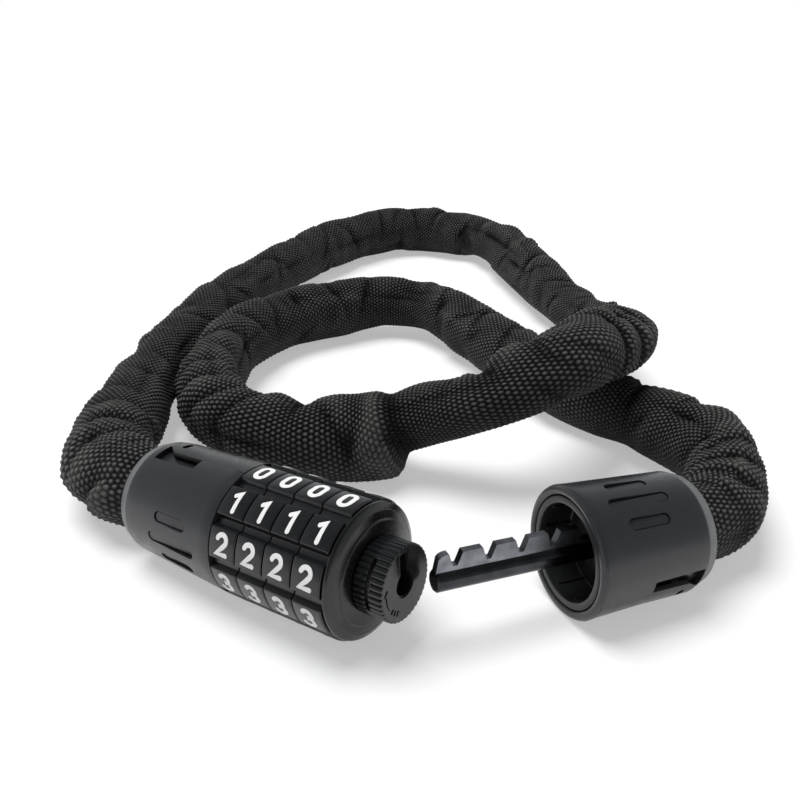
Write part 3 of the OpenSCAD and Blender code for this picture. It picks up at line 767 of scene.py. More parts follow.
# Kind, run, angle, rise, length, spread and sometimes skew of each fold that is listed one by one
FOLDS: list[Fold] = [Fold(*row) for row in (
    # Arcs where the cloth is gathered and turns away from the barrel with the dials
    (CROSS, 17, 80, -1.4, 3.0, 35, 5), (CROSS, 29, 90, -2.2, 3.2, 50, 8),
    (CROSS, 43, 95, -2.2, 3.0, 70, 7), (CROSS, 55, 80, -1.4, 2.8, 55, 9),
    (SWELL, 36, 110, 1.0, 6.0, 60, 6), (SWELL, 22, 110, 0.8, 5.0, 60, 6),
    (SWELL, 99, 165, 2.0, 4.5, 28), (CROSS, 107, 150, -1.6, 2.6, 35, -6),
    (LONG, 76, 60, -1.8, 16, 16, 0), (LONG, 118, 118, -1.5, 24, 14),
    (CROSS, 150, 60, -1.6, 3.0, 60, -14), (CROSS, 188, 80, -1.4, 3.2, 60, 16),
    (LONG, 214, 70, -1.6, 26, 13), (CROSS, 242, 60, -1.6, 3.0, 60, -12),
    # The far loop
    (SWELL, 296, 150, 1.5, 6, 32), (CROSS, 280, 110, -1.7, 3.0, 60, 10),
    (SWELL, 332, 15, 1.4, 8, 35), (CROSS, 316, 40, -2.2, 3.0, 65, -10),
    (SWELL, 364, 140, 1.3, 6, 30), (CROSS, 350, 50, -1.8, 3.0, 55, 8),
    (CROSS, 376, 70, -1.8, 3.0, 60, -8), (CROSS, 396, 110, -1.8, 3.0, 55, 6),
    (SWELL, 408, 20, 1.6, 6, 30), (CROSS, 418, 30, -2.4, 2.8, 45, 5),
    (LONG, 460, 52, -2.6, 36, 15), (SWELL, 460, 95, 1.0, 36, 26),
    (CROSS, 482, 20, -1.6, 3.0, 40, 8), (CROSS, 508, 60, -1.7, 3.0, 60, -10),
    (SWELL, 562, 150, 1.8, 7, 32), (CROSS, 548, 110, -1.8, 3.0, 55, 9),
    # Pleats stacked at the right turn, which climbs over the last strand
    (CROSS, 586, 90, -1.3, 3.0, 60, -10), (CROSS, 612, 80, -1.4, 3.0, 60, 8),
    (CROSS, 636, 120, -2.4, 2.6, 60, -4), (CROSS, 648, 120, -3.8, 2.8, 80, -3),
    (CROSS, 660, 135, -4.2, 3.0, 80, 0), (CROSS, 672, 145, -4.2, 3.2, 80, 3),
    (CROSS, 684, 150, -3.8, 3.2, 60, 5), (SWELL, 696, 130, 0.8, 12, 55),
    # The front strand, pinched and then swollen
    (CROSS, 711, 60, -2.2, 3.0, 45, 5), (SWELL, 721, 58, 2.4, 6.5, 30),
    (CROSS, 730, 60, -2.0, 2.6, 45, -4), (SWELL, 738, 55, 1.6, 4.5, 26),
    (LONG, 742, 128, -1.4, 22, 16), (SWELL, 771, 165, 1.2, 5.0, 50),
    (CROSS, 786, 120, -1.8, 3.0, 60, -10), (CROSS, 795, 70, -2.6, 3.0, 45, 4),
    (SWELL, 804, 70, 1.6, 6, 36),
    # The left turn stands tall, with bags one above the other
    (CROSS, 815, 110, -1.8, 2.8, 60, 8), (CROSS, 827, 130, -2.2, 2.8, 60, 10),
    (CROSS, 839, 130, -2.2, 2.8, 55, 9), (CROSS, 851, 120, -1.8, 2.8, 50, 8),
    (LONG, 880, 35, -2.4, 26, 14), (LONG, 868, 140, -1.6, 20, 14),
    (CROSS, 902, 70, -2.0, 2.8, 60, -8), (CROSS, 922, 70, -1.8, 3.0, 65, 10),
    # The inner loop
    (SWELL, 945, 30, 1.0, 9, 40), (CROSS, 958, 60, -2.0, 3.0, 60, -8),
    (CROSS, 974, 50, -2.2, 2.8, 55, 6), (LONG, 992, 42, -2.0, 18, 16),
    (CROSS, 1008, 120, -2.2, 3.0, 40, 6), (CROSS, 1022, 50, -2.0, 3.0, 55, -7),
    (CROSS, 1046, 80, -1.7, 3.0, 60, 10), (CROSS, 1072, 60, -1.6, 3.0, 60, -10),
    (CROSS, 1112, 60, -1.5, 3.0, 60, 9), (CROSS, 1138, 90, -2.2, 3.0, 65, -5),
    # Gathers where the last strand turns into the barrel with the bolt
    (CROSS, 1160, 125, -2.4, 3.0, 45, 4), (SWELL, 1170, 130, 1.8, 5, 36),
    (LONG, 1164, 62, -2.4, 13, 16), (CROSS, 1184, 165, -2.2, 2.8, 40, 2),
    (CROSS, 1190, 85, -2.0, 2.8, 60, -5), (CROSS, 1200, 85, -2.2, 2.8, 60, -5),
    (CROSS, 1210, 90, -2.0, 2.8, 60, -4), (CROSS, 1220, 90, -1.4, 2.6, 60, -3),
)]


def bell(width: int) -> np.ndarray:
    """Returns a bell-shaped window of an odd width that adds up to 1."""
    return np.hanning(width) / np.hanning(width).sum()


def smoothed(row: np.ndarray, width: int) -> np.ndarray:
    """Smooths a row of values with a window of an odd width."""
    return np.convolve(np.pad(row, width // 2, mode="edge"), bell(width), mode="valid")


@dataclass
class WovenSleeve:
    """The woven nylon tube over the chain, gathered at its ends and folded at its bends.

    Lengths are millimetres. The mesh has a ring at each step and a number of sides round it, and
    each float of the weave is a bead that stands out of it. The folds stay between the deepest
    and the highest relief, the radius stays above the tightest one, and the cloth stays above the
    floor. Cloth that stands out by the full standout gets the most painted highlight, and the
    deepest creases the most painted shade. At either end the cloth turns in by its thickness,
    over a number of rings.
    """

    materials: Materials
    step: float = 1.6
    sides: int = 88
    bead: float = 0.2
    cloth: float = 1.2
    tightest: float = 8.2
    deepest: float = -4.2
    highest: float = 2.2
    floor: float = 0.35
    link_pitch: float = 33.4
    pleats: int = 11
    full_standout: float = 1.3
    turned_in: int = 6
    seed: int = 41
    centres: np.ndarray = field(default_factory=lambda: np.zeros((0, 3)))
    radii: np.ndarray = field(default_factory=lambda: np.zeros(0))
    run: np.ndarray = field(default_factory=lambda: np.zeros(0))

    def route(self) -> np.ndarray:
        """Returns the route's points with both necks, as x, y, z and radius."""
        points = []
        for depth in NECK_STEPS:
            at = LOCK_PLACE.matrix() @ Vector((0, 0, LOCK_PIN_Z - depth)) / MM
            points.append((*at, NECK_R))
        points += ROUTE
        for depth in reversed(NECK_STEPS):
            at = SOCKET_PLACE.matrix() @ Vector((0, 0, SOCKET_PIN_Z + depth)) / MM
            points.append((*at, NECK_R))
        return np.array(points)

    def trace(self) -> None:
        """Samples the smooth route at even steps, from one neck to the other."""
        points = self.route()
        dense = []
        for i in range(1, len(points) - 2):
            a, b, c, d = points[i - 1], points[i], points[i + 1], points[i + 2]
            for k in range(24):
                t = k / 24
                dense.append((2 * b + (c - a) * t + (2 * a - 5 * b + 4 * c - d) * t * t
                              + (3 * b - a - 3 * c + d) * t ** 3) / 2)
        dense.append(points[-2])
        line = np.array(dense)
        gaps = np.linalg.norm(np.diff(line[:, :3], axis=0), axis=1)
        run = np.concatenate([[0], np.cumsum(gaps)])
        count = int(run[-1] / self.step)
        self.run = np.linspace(0, run[-1], count + 1)
        self.centres = np.stack([np.interp(self.run, run, line[:, k]) for k in range(3)], axis=1)
        self.radii = np.interp(self.run, run, line[:, 3])

    def frames(self) -> tuple[np.ndarray, np.ndarray]:
        """Returns the directions to the right and up at each sample."""
        ahead = np.gradient(self.centres, axis=0)
        ahead /= np.linalg.norm(ahead, axis=1)[:, None]
        right = np.cross(ahead, (0, 0, 1))
        right /= np.linalg.norm(right, axis=1)[:, None]
        return right, np.cross(right, ahead)

    def section(self, angle: np.ndarray) -> np.ndarray:
        """Works out the sleeve's rounded section from its reach to either side and upwards.

        Args:
            angle: angles round the sleeve as a row.

        Returns:
            The radius in millimetres, by sample and angle.
        """
        table = np.array(REACH)
        slack = np.array(UNDERSIDE)
        plain = [np.interp(self.run, table[:, 0], table[:, k]) for k in (1, 2, 3)]
        plain.append(self.radii * np.interp(self.run, slack[:, 0], slack[:, 1]))
        right, top, left, under = (smoothed(row, 5)[:, None] for row in plain)
        wide = np.where(np.cos(angle) > 0, right, left)
        tall = np.where(np.sin(angle) > 0, top, under)
        return 1 / np.sqrt((np.cos(angle) / wide) ** 2 + (np.sin(angle) / tall) ** 2)

    def small_folds(self) -> list[Fold]:
        """Returns small swellings and creases strewn over the whole sleeve, the same each time."""
        chance = np.random.default_rng(self.seed)
        folds = []
        for at in np.arange(10, self.run[-1] - 8, 3.1):
            run = at + chance.uniform(-3, 3)
            angle = chance.uniform(-50, 220)
            pick = chance.random()
            side = -1 if chance.random() < 0.68 else 0.8
            if pick < 0.42:
                folds.append(Fold(Crumple.CROSS, run, angle, side * chance.uniform(0.8, 2.3),
                                  chance.uniform(2.8, 4.6), chance.uniform(22, 50),
                                  chance.uniform(-18, 18), 1 if chance.random() < 0.5 else -1))
            elif pick < 0.68:
                folds.append(Fold(Crumple.LONG, run, angle, side * chance.uniform(0.8, 2.0),
                                  chance.uniform(8, 20), chance.uniform(12, 20),
                                  chance.uniform(-9, 9)))
            else:
                folds.append(Fold(Crumple.SWELL, run, angle, chance.uniform(-2.0, 1.7),
                                  chance.uniform(4, 9), chance.uniform(20, 38),
                                  chance.uniform(-9, 9)))
        return folds

    def surface(self) -> tuple[np.ndarray, np.ndarray]:
        """Works out where the cloth lies and its painted shade and highlight.

        Returns:
            Points in millimetres, by sample and by angle from the right over the top, with the
            first angle again at the end, and how far each spot stands out from its surroundings.
        """
        self.trace()
        right, top = self.frames()
        angle = np.linspace(0, 2 * math.pi, self.sides + 1)[None, :]
        run = self.run[:, None]
        relief = np.zeros((len(self.run), self.sides + 1))
        for fold in FOLDS + self.small_folds():
            relief += fold.rises(run, angle)
        # Links lie alternately flat and upright inside, and widen the sleeve in turn
        relief += 0.3 * np.cos(2 * math.pi * run / self.link_pitch) * np.cos(2 * angle)
        # The cloth is gathered in pleats under the bands at its ends
        ends = np.minimum(run, self.run[-1] - run)
        ease = np.clip((ends - 3) / 14, 0, 1)
        pleats = (0.5 * np.exp(-np.maximum(ends - 4, 0) / 8.0)
                  * np.cos(self.pleats * angle + 0.7 * np.sin(run / 3)))
        # The underside carries the weight, so nothing swells there
        relief -= np.maximum(relief, 0) * np.clip((-np.sin(angle) - 0.1) / 0.4, 0, 1)
        radius = self.section(angle) + ease * np.clip(relief, self.deepest, self.highest) + pleats
        radius = np.maximum(radius, np.minimum(self.tightest, self.radii[:, None] - 0.7))
        # Every second grid point carries a float of the weave
        beaded = radius + self.bead * ease * (1 - 2 * (self.parity() % 2))
        outwards = (np.cos(angle)[..., None] * right[:, None, :]
                    + np.sin(angle)[..., None] * top[:, None, :])
        cloth = self.centres[:, None, :] + beaded[..., None] * outwards
        # Cloth that would reach below the floor lies flat on it
        cloth[..., 2] = np.maximum(cloth[..., 2], self.floor)
        return cloth, self.standing_out(radius)

    def parity(self) -> np.ndarray:
        """Returns the sum of the row and the column at each grid point, even under a float."""
        return np.arange(len(self.run))[:, None] + np.arange(self.sides + 1)[None, :]

    def standing_out(self, radius: np.ndarray) -> np.ndarray:
        """Works out how far each spot stands out from the cloth round it.

        Args:
            radius: radius by sample and angle, with the first angle again at the end.

        Returns:
            A share from -1 in the deepest creases to 1 on the highest ridges.
        """
        turns = np.apply_along_axis(smoothed, 0, radius, 15)[:, :-1]
        soft = sum(w * np.roll(turns, k, axis=1) for w, k in zip(bell(15), range(-7, 8)))
        soft = np.concatenate([soft, soft[:, :1]], axis=1)
        return np.clip((radius - soft) / self.full_standout, -1, 1)

    def build(self) -> bpy.types.Object:
        """Makes the sleeve's mesh with its yarn map.

        Returns:
            The sleeve.
        """
        cloth, painted_fold_light = self.surface()
        rows = len(self.run) - 1
        bm = bmesh.new()
        layer = bm.loops.layers.uv.new("yarns")
        # Each vertex keeps how far it stands out, which paints shade into the creases and a
        # highlight onto the ridges
        lightening = bm.verts.layers.float.new("painted_fold_light")
        bmesh.ops.create_grid(bm, x_segments=self.sides, y_segments=rows, size=1.0)
        # The flat grid is rolled up: its X goes round the sleeve and its Y along it
        spots = {}
        for vert in bm.verts:
            spots[vert] = (round((vert.co.y + 1) / 2 * rows),
                           round((vert.co.x + 1) / 2 * self.sides))
        # Faces are split from low point to low point, so that the floats stand apart
        for face in list(bm.faces):
            low = [vert for vert in face.verts if sum(spots[vert]) % 2]
            bmesh.utils.face_split(face, low[0], low[1])
        for face in bm.faces:
            for loop in face.loops:
                i, j = spots[loop.vert]
                loop[layer].uv = (i - 0.2, j - 0.2)
        for vert, (i, j) in spots.items():
            vert.co = cloth[i, j] * MM
            vert[lightening] = painted_fold_light[i, j]
        bmesh.ops.remove_doubles(bm, verts=bm.verts, dist=1e-6)
        bmesh.ops.recalc_face_normals(bm, faces=bm.faces)
        # Each end turns in over its edge, so that the cloth has thickness at the mouth
        for end, deep in ((0, self.turned_in), (rows, rows - self.turned_in)):
            rim = [e for e in bm.edges if e.is_boundary
                   and (e.verts[0].co / MM - Vector(self.centres[end])).length < 20]
            middle = Vector(self.centres[end] * MM)
            shift = Vector((self.centres[deep] - self.centres[end]) * MM)
            share = self.cloth / NECK_R
            for inwards in (True, False):
                grown = bmesh.ops.extrude_edge_only(bm, edges=rim)["geom"]
                rim = [e for e in only(grown, bmesh.types.BMEdge) if e.is_boundary]
                for vert in only(grown, bmesh.types.BMVert):
                    vert.co += (middle - vert.co) * share if inwards else shift
        made = to_object(bm, "woven_sleeve", self.materials["sleeve_weave"], sharp=180.0,
                         recalc=False)
        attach(made, "chain")
        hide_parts("chain_sleeve")
        LOG.info("woven_sleeve: %d rings of %d", rows + 1, self.sides)
        return made


# ---------------------------------------------------------------- both barrels

# The clip: rounding of its edges, half the width of its seat, and how deep the seat is
CLIP_ROUND = 0.22
CLIP_HALF = 4.66
CLIP_DEPTH = 1.35
# The grips: their lengths in order round the casing, and their width
GRIP_LENGTHS = (12.0, 17.5, 12.0)
GRIP_WIDTH = 2.8
# The pocket for the liner in the socket's casing
POCKET_R = 14.7
POCKET_LEN = 10.8


def softened(name: str, new_name: str, material: bpy.types.Material,
             width: float) -> bpy.types.Object:
    """Copies a CAD node's shape and rounds its edges.

    Args:
        name: the CAD node.
        new_name: name of the new piece.
        material: its finish.
        width: width of the rounding in millimetres.

    Returns:
        The new piece.
    """
    bm = bmesh.new()
    bm.from_mesh(FRAME["nodes"][name].data)
    bmesh.ops.remove_doubles(bm, verts=bm.verts, dist=2e-6)
    bmesh.ops.dissolve_limit(bm, angle_limit=math.radians(0.6), verts=bm.verts, edges=bm.edges)
    made = to_object(bm, new_name, material, None, 30.0)
    bevel = made.modifiers.new("edges", "BEVEL")
    bevel.width = width * MM
    bevel.segments = 2
    bevel.limit_method = "ANGLE"
    bevel.angle_limit = math.radians(32)
    return made


@dataclass
class Barrel:
    """What both barrels share: a tapered casing with grips on two sides and a seat for a clip.

    Lengths are millimetres, measured from the casing's mouth. Angles are degrees: that of the
    clip and those of the grips on one side.
    """

    matrix: Matrix
    materials: Materials
    side: Side = Side.DIALS
    casing_len: float = 37.0
    mouth_r: float = 17.5
    end_r: float = 15.7
    chamfer_len: float = 3.3
    chamfer_depth: float = 1.3
    bore_r: float = 13.2
    clip_at: float = -10.0
    grips: tuple[float, ...] = (71, 93, 115)
    grips_at: float = 15.4

    @property
    def taper(self) -> float:
        """Length of the casing's tapered side."""
        return self.casing_len - self.chamfer_len

    @property
    def back_r(self) -> float:
        """Radius of the casing at the chain's end."""
        return self.end_r - self.chamfer_depth

    def casing_profile(self) -> Outline:
        """Returns the casing's outline: radius, and height from its mouth to the chain's end."""
        length, taper = self.casing_len, self.taper
        if self.side is Side.DIALS:
            profile = [(self.bore_r, 0.0), (self.mouth_r - 0.25, 0.0),
                       (self.mouth_r - 0.07, 0.07), (self.mouth_r - 0.01, 0.25)]
        else:
            profile = [(POCKET_R, 0.45), (15.0, 0.12), (15.4, 0.0)]
            profile += arc(self.mouth_r - 1.3, 1.3, 1.3, -90, 0, 7)
        for k in range(1, 12):
            z = 1.4 + (taper - 1.4) * k / 12
            profile.append((self.mouth_r + (self.end_r - self.mouth_r) * z / taper, z))
        profile += [(self.end_r + 0.02, taper - 0.35), (self.end_r - 0.04, taper),
                    (self.end_r - 0.22, taper + 0.35), (self.back_r + 0.2, length - 0.3),
                    (self.back_r, length - 0.08), (self.back_r - 0.2, length),
                    (self.bore_r + 0.12, length), (self.bore_r, length - 0.12)]
        if self.side is Side.SOCKET:
            profile += [(self.bore_r, POCKET_LEN), (POCKET_R, POCKET_LEN)]
        return profile

    def cut_grips(self, made: bpy.types.Object) -> None:
        """Cuts the sunken grips into both sides of the casing.

        Args:
            made: the casing.
        """
        skin = (self.mouth_r + self.end_r) / 2
        outwards = Matrix.Rotation(math.radians(90), 4, "Y")
        grips = [(Matrix.Rotation(math.radians(angle + half_turn), 4, "Z")
                  @ Matrix.Translation((0, 0, self.grips_at)) @ outwards, length)
                 for half_turn in (0, 180) for angle, length in zip(self.grips, GRIP_LENGTHS)]
        # Each grip has a flat floor and a wider, shallow step round it
        for grow, depth in ((0.0, 0.62), (0.22, 0.16)):
            cut(made, [placed(prism(stadium(length, GRIP_WIDTH, grow), skin - depth, skin + 3),
                              place) for place, length in grips])
        # A fine dark line runs round each grip, where its edge is undercut
        cut(made, [placed(ribbon(stadium(length, GRIP_WIDTH, -0.1), 0.3, True, skin - 0.95,
                                 skin + 3), place) for place, length in grips])

    def clip_seat(self) -> list[bmesh.types.BMesh]:
        """Returns the shapes that make the clip's seat and the recess under its tongue.

        Returns:
            The seat and the recess, each closed.
        """
        turn = Matrix.Rotation(math.radians(self.clip_at), 4, "Z")
        flare, start = (1.2, -1) if self.side is Side.DIALS else (0.0, 0.9)
        seat = prism([(start, CLIP_HALF + flare), (5, CLIP_HALF), (17, CLIP_HALF),
                      (17, -CLIP_HALF), (5, -CLIP_HALF), (start, -CLIP_HALF - flare)], 0, 30)
        # The outline lies in the plane of length and width; stand it up so that it faces outwards
        placed(seat, Matrix(((0, 0, 1, 0), (0, 1, 0, 0), (1, 0, 0, 0), (0, 0, 0, 1))))
        floor = self.mouth_r - CLIP_DEPTH
        slope = (self.mouth_r - self.end_r) / self.taper
        for vert in seat.verts:
            if vert.co.x < 1:
                vert.co.x = floor - slope * vert.co.z - 0.5 * abs(vert.co.y) ** 2 / floor
        recess = prism(ring_slot(14.1, 30, -29, 29), 16, 31.5)
        return [placed(seat, turn), placed(recess, turn)]

    def casing(self) -> bpy.types.Object:
        """Makes the casing with its grips, clip seat and recess.

        Returns:
            The casing.
        """
        dials = self.side is Side.DIALS
        name = "lock_casing_shell" if dials else "socket_casing_shell"
        made = to_object(turned(self.casing_profile(), 160), name,
                         self.materials["casing_lacquer"], None, 28.0)
        self.cut_grips(made)
        for shape in self.clip_seat():
            cut(made, [shape])
        # The narrow band round the chain's end is paler than the rest
        made.data.materials.append(self.materials["rim_lacquer"])
        for face in made.data.polygons:
            out = math.hypot(face.center.x, face.center.y)
            if (face.center.z > self.taper + 0.25 and out > self.back_r - 0.1
                    and abs(face.normal.z) > 0.15):
                face.material_index = 1
        if dials:
            made.data.transform(Matrix.Scale(-1, 4, (0, 0, 1)))
            made.data.flip_normals()
        made.data.transform(self.matrix)
        made.data.set_sharp_from_angle(angle=math.radians(28))
        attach(made, "lock_barrel" if dials else "socket_barrel")
        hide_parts("lock_casing" if dials else "socket_casing")
        LOG.info("%s", name)
        return made


# ---------------------------------------------------------------- dial barrel

Stroke = tuple[Outline, bool]


def drawn_digits() -> list[list[Stroke]]:
    """Returns the middle lines of the digits 0 to 9: round-ended strokes five millimetres tall."""
    zero = bow(0, 1.0, 1.42, 1.5, 0, 180) + bow(0, -1.0, 1.42, 1.5, 180, 360)
    six = [(bow(0, -1.0, 1.42, 1.48, 0, 360, 28)[:-1], True),
           ([(-1.36, -0.65), (-1.1, 0.5), (-0.3, 1.7), (0.75, 2.5)], False)]
    nine = [([(-x, -y) for x, y in points], closed) for points, closed in six]
    two = bow(0, 1.08, 1.45, 1.42, 165, -28) + [(0.4, -0.6), (-1.45, -2.42), (1.5, -2.42)]
    three = (bow(-0.1, 1.25, 1.35, 1.22, 150, -75, 14) + bow(-0.1, -1.1, 1.5, 1.4, 75, -152, 16))
    five = [(1.25, 2.45), (-1.0, 2.45), (-1.2, 0.35)] + bow(0, -0.9, 1.5, 1.55, 125, -150)
    return [[(zero, True)],
            [([(-0.95, 1.5), (0.35, 2.35), (0.35, -2.5)], False)],
            [(two, False)],
            [(three, False)],
            [([(0.75, -2.5), (0.75, 2.5)], False),
             ([(0.6, 2.4), (-1.6, -1.1), (1.75, -1.1)], False)],
            [(five, False)],
            six,
            [([(-1.45, 2.42), (1.5, 2.42), (-0.35, -2.5)], False)],
            [(bow(0, 1.28, 1.2, 1.18, 0, 360, 24)[:-1], True),
             (bow(0, -1.12, 1.45, 1.4, 0, 360, 28)[:-1], True)],
            nine]


DIGIT_STROKES: list[list[Stroke]] = drawn_digits()


@dataclass
class DialBarrel(Barrel):
    """The barrel with the dials: casing, clip, dials, end cap and setting knob.

    Lengths are millimetres, measured from the seam between the casing and the first dial. The
    digits are drawn with an even stroke, as a layer of ink that hangs a hair above the pads.
    """

    count: int = 4
    pitch: float = 8.9
    gap: float = 0.3
    pads: int = 10
    notch_depth: float = 1.5
    dial_bore: float = 13.3
    stroke: float = 1.24
    ink: float = 0.06
    ink_gap: float = 0.01
    cap_len: float = 2.6
    knob_r: float = 9.6
    knob_len: float = 8.1
    flutes: int = 40
    flute_depth: float = 0.5
    flute_faces: int = 8

    @property
    def cap_start(self) -> float:
        """Where the end cap begins."""
        return self.count * self.pitch + self.gap / 2

    @property
    def knob_start(self) -> float:
        """Where the knob begins."""
        return self.cap_start + self.cap_len + 0.25

    def pad_stops(self) -> Outline:
        """Returns the outline of one pad: angle in degrees from its middle, and depth."""
        half = 180 / self.pads
        to_deg = math.degrees(1 / self.mouth_r)
        wall = [(3.70, 0.0), (3.82, 0.03), (3.94, 0.14), (4.3, 0.75), (4.62, 1.3),
                (4.74, 1.44), (4.9, 1.5)]
        side = [(t * to_deg, d * self.notch_depth / 1.5) for t, d in wall]
        flat = [(t * to_deg, 0.0) for t in (0.0, 1.3, 2.5, 3.3)]
        right = flat + side
        left = [(-t, d) for t, d in reversed(right[1:])]
        return left + right + [(half, self.notch_depth)]

    def dial(self, index: int) -> bpy.types.Object:
        """Makes one dial ring with its raised pads.

        Args:
            index: 0 for the dial next to the casing.

        Returns:
            The dial.
        """
        stops = self.pad_stops()
        angles = [math.radians(360 * k / self.pads + a)
                  for k in range(self.pads) for a, _ in stops]
        depths = [d for _ in range(self.pads) for _, d in stops]
        width = self.pitch - self.gap
        rim = 0.42
        bevel = [(0.0, rim), (0.05, 0.26), (0.14, 0.12), (0.27, 0.03), (rim, 0.0)]
        levels = bevel + [(width / 2, 0.0)] + [(width - z, e) for z, e in reversed(bevel)]
        rows = [(0.0, self.dial_bore, 0.0), *((z, None, e) for z, e in levels),
                (width, self.dial_bore, 0.0)]
        bm = bmesh.new()
        ring = bmesh.ops.create_circle(bm, segments=len(angles), radius=1.0)["verts"]
        ring.sort(key=turn_of)
        first = min(range(len(angles)), key=lambda k: angles[k] % (2 * math.pi))
        edges = list(bm.edges)
        loops = [edges]
        start = index * self.pitch + self.gap / 2
        for number, (z, fixed, inset) in enumerate(rows):
            if number:
                grown = bmesh.ops.extrude_edge_only(bm, edges=edges)["geom"]
                ring = sorted(only(grown, bmesh.types.BMVert), key=turn_of)
                fresh = set(ring)
                edges = [e for e in only(grown, bmesh.types.BMEdge) if fresh.issuperset(e.verts)]
                loops.append(edges)
            for k, vert in enumerate(ring):
                j = (k + first) % len(angles)
                lift = inset * (1.0 - 0.5 * depths[j] / self.notch_depth)
                r = fixed if fixed is not None else self.mouth_r - depths[j] - lift
                vert.co = (r * math.cos(angles[j]), r * math.sin(angles[j]), start + z)
        bmesh.ops.bridge_loops(bm, edges=loops[0] + loops[-1])
        made = to_object(bm, f"dial_ring_{index + 1}", self.materials["dial_lacquer"],
                         self.matrix, 50.0)
        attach(made, f"dial_ring_{index + 1}")
        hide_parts(f"dial_{index + 1}")
        return made

    def glyphs(self) -> list[bpy.types.Mesh]:
        """Draws the ten digits flat, each as one closed plate of even thickness.

        Returns:
            The meshes in order from 0 to 9, in millimetres, upright in X and Y.
        """
        made = []
        for strokes in DIGIT_STROKES:
            plates = [ribbon(points, self.stroke, closed, 0.0, self.ink)
                      for points, closed in strokes]
            one = to_object(plates[0], "digit", self.materials["digit_ink"])
            for plate in plates[1:]:
                cut(one, [plate], union=True)
            made.append(one.data)
            bpy.data.objects.remove(one)
        return made

    def digits(self, index: int, glyphs: list[bpy.types.Mesh]) -> bpy.types.Object:
        """Lays the ten printed digits of one dial on its pads, as one piece.

        Args:
            index: 0 for the dial next to the casing.
            glyphs: the flat digits.

        Returns:
            The digits.
        """
        joined = bmesh.new()
        middle = (index + 0.5) * self.pitch
        for digit in range(self.pads):
            one = bmesh.new()
            one.from_mesh(glyphs[digit])
            for y in np.arange(-2.8, 2.81, 0.7):
                bmesh.ops.bisect_plane(one, geom=one.verts[:] + one.edges[:] + one.faces[:],
                                       plane_co=(0, y, 0), plane_no=(0, 1, 0))
            turn = math.radians(360 * digit / self.pads)
            for vert in one.verts:
                a = turn - vert.co.y / self.mouth_r
                r = self.mouth_r + self.ink_gap + vert.co.z
                vert.co = (r * math.cos(a), r * math.sin(a), middle + vert.co.x)
            pour(one, joined)
        name = f"dial_digits_{index + 1}"
        made = to_object(joined, name, self.materials["digit_ink"], self.matrix, 30.0)
        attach(made, f"dial_ring_{index + 1}")
        return made

    def cap(self) -> bpy.types.Object:
        """Makes the stepped end cap.

        Returns:
            The cap.
        """
        z, front = self.cap_start, self.cap_start + self.cap_len
        profile = [(5.72, z), (16.7, z)] + arc(16.7, z + 0.3, 0.3, -90, 0, 4)
        profile += arc(16.2, z + 0.5, 0.8, 0, 62, 5)
        profile += [(15.2, front - 0.82), (15.12, front - 0.86), (14.9, front - 0.78)]
        profile += [(13.3, front - 0.42), (13.2, front - 0.45), (13.05, front - 0.30)]
        profile += [(12.9, front - 0.1), (12.7, front), (7.5, front), (7.5, front + 5.9),
                    (5.72, front + 5.9)]
        bm = turned(profile, 144)
        made = to_object(bm, "end_cap_turned", self.materials["cap_lacquer"], self.matrix, 28.0)
        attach(made, "lock_barrel")
        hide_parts("end_cap")
        return made

    def knob(self) -> bpy.types.Object:
        """Makes the fluted knob with its slit, keyhole and setting arrow.

        Returns:
            The knob.
        """
        levels = [(0.0, 0.35), (0.12, 0.1), (0.3, 0.0), (3.45, 0.0), (self.knob_len - 0.5, 0.0),
                  (self.knob_len - 0.28, 0.07), (self.knob_len - 0.1, 0.22), (self.knob_len, 0.5)]
        bm = bmesh.new()
        bmesh.ops.create_circle(bm, segments=self.flutes * self.flute_faces, radius=1.0,
                                cap_ends=True)
        face = next(iter(bm.faces))
        for number, (z, inset) in enumerate(levels):
            if number:
                grown = bmesh.ops.extrude_face_region(bm, geom=[face])["geom"]
                old = face
                face = only(grown, bmesh.types.BMFace)[0]
                # The first face stays as the knob's back, and the ones between would lie inside
                if number > 1:
                    bmesh.ops.delete(bm, geom=[old], context="FACES_ONLY")
            for vert in face.verts:
                a = math.atan2(vert.co.y, vert.co.x)
                k = a / (2 * math.pi) * self.flutes
                u = k - math.floor(k + 0.5)
                groove = self.flute_depth * (2 * abs(u)) ** 2.5
                fade = 1.0 if 0 < number < len(levels) - 1 else 0.6
                r = self.knob_r - inset - groove * fade
                vert.co = (r * math.cos(a), r * math.sin(a), self.knob_start + z)
        made = to_object(bm, "setting_knob", self.materials["knob_lacquer"], None, 40.0)
        front = self.knob_start + self.knob_len
        bore = arc(0.0, 0.0, 7.55, 0, 360, 64)[:-1]
        # The keyhole, its sunken rim, the slit in the knob's side and the bore behind its face
        for outline, low, high in (
                (self.keyhole(3.05, 1.25, 7.8), front - 2.6, front + 1),
                (self.keyhole(3.45, 1.6, 8.15), front - 0.35, front + 0.6),
                (ring_slot(7.3, 12.0, 32, 114), front - 4.6, front - 3.45),
                (bore, self.knob_start - 1, front - 2.4)):
            cut(made, [prism(outline, low, high)])
        cut(made, self.arrow(front), union=True)
        made.data.transform(self.matrix)
        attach(made, "knob")
        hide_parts("reset_knob")
        return made

    @staticmethod
    def keyhole(radius: float, half: float, reach: float) -> Outline:
        """Returns the outline of a round hole with a slot upwards (+X)."""
        start = math.degrees(math.asin(half / radius))
        corner = 0.3
        return arc(0.0, 0.0, radius, start, 360 - start, 40) + [
            (reach - corner, -half), (reach, -half + corner),
            (reach, half - corner), (reach - corner, half)]

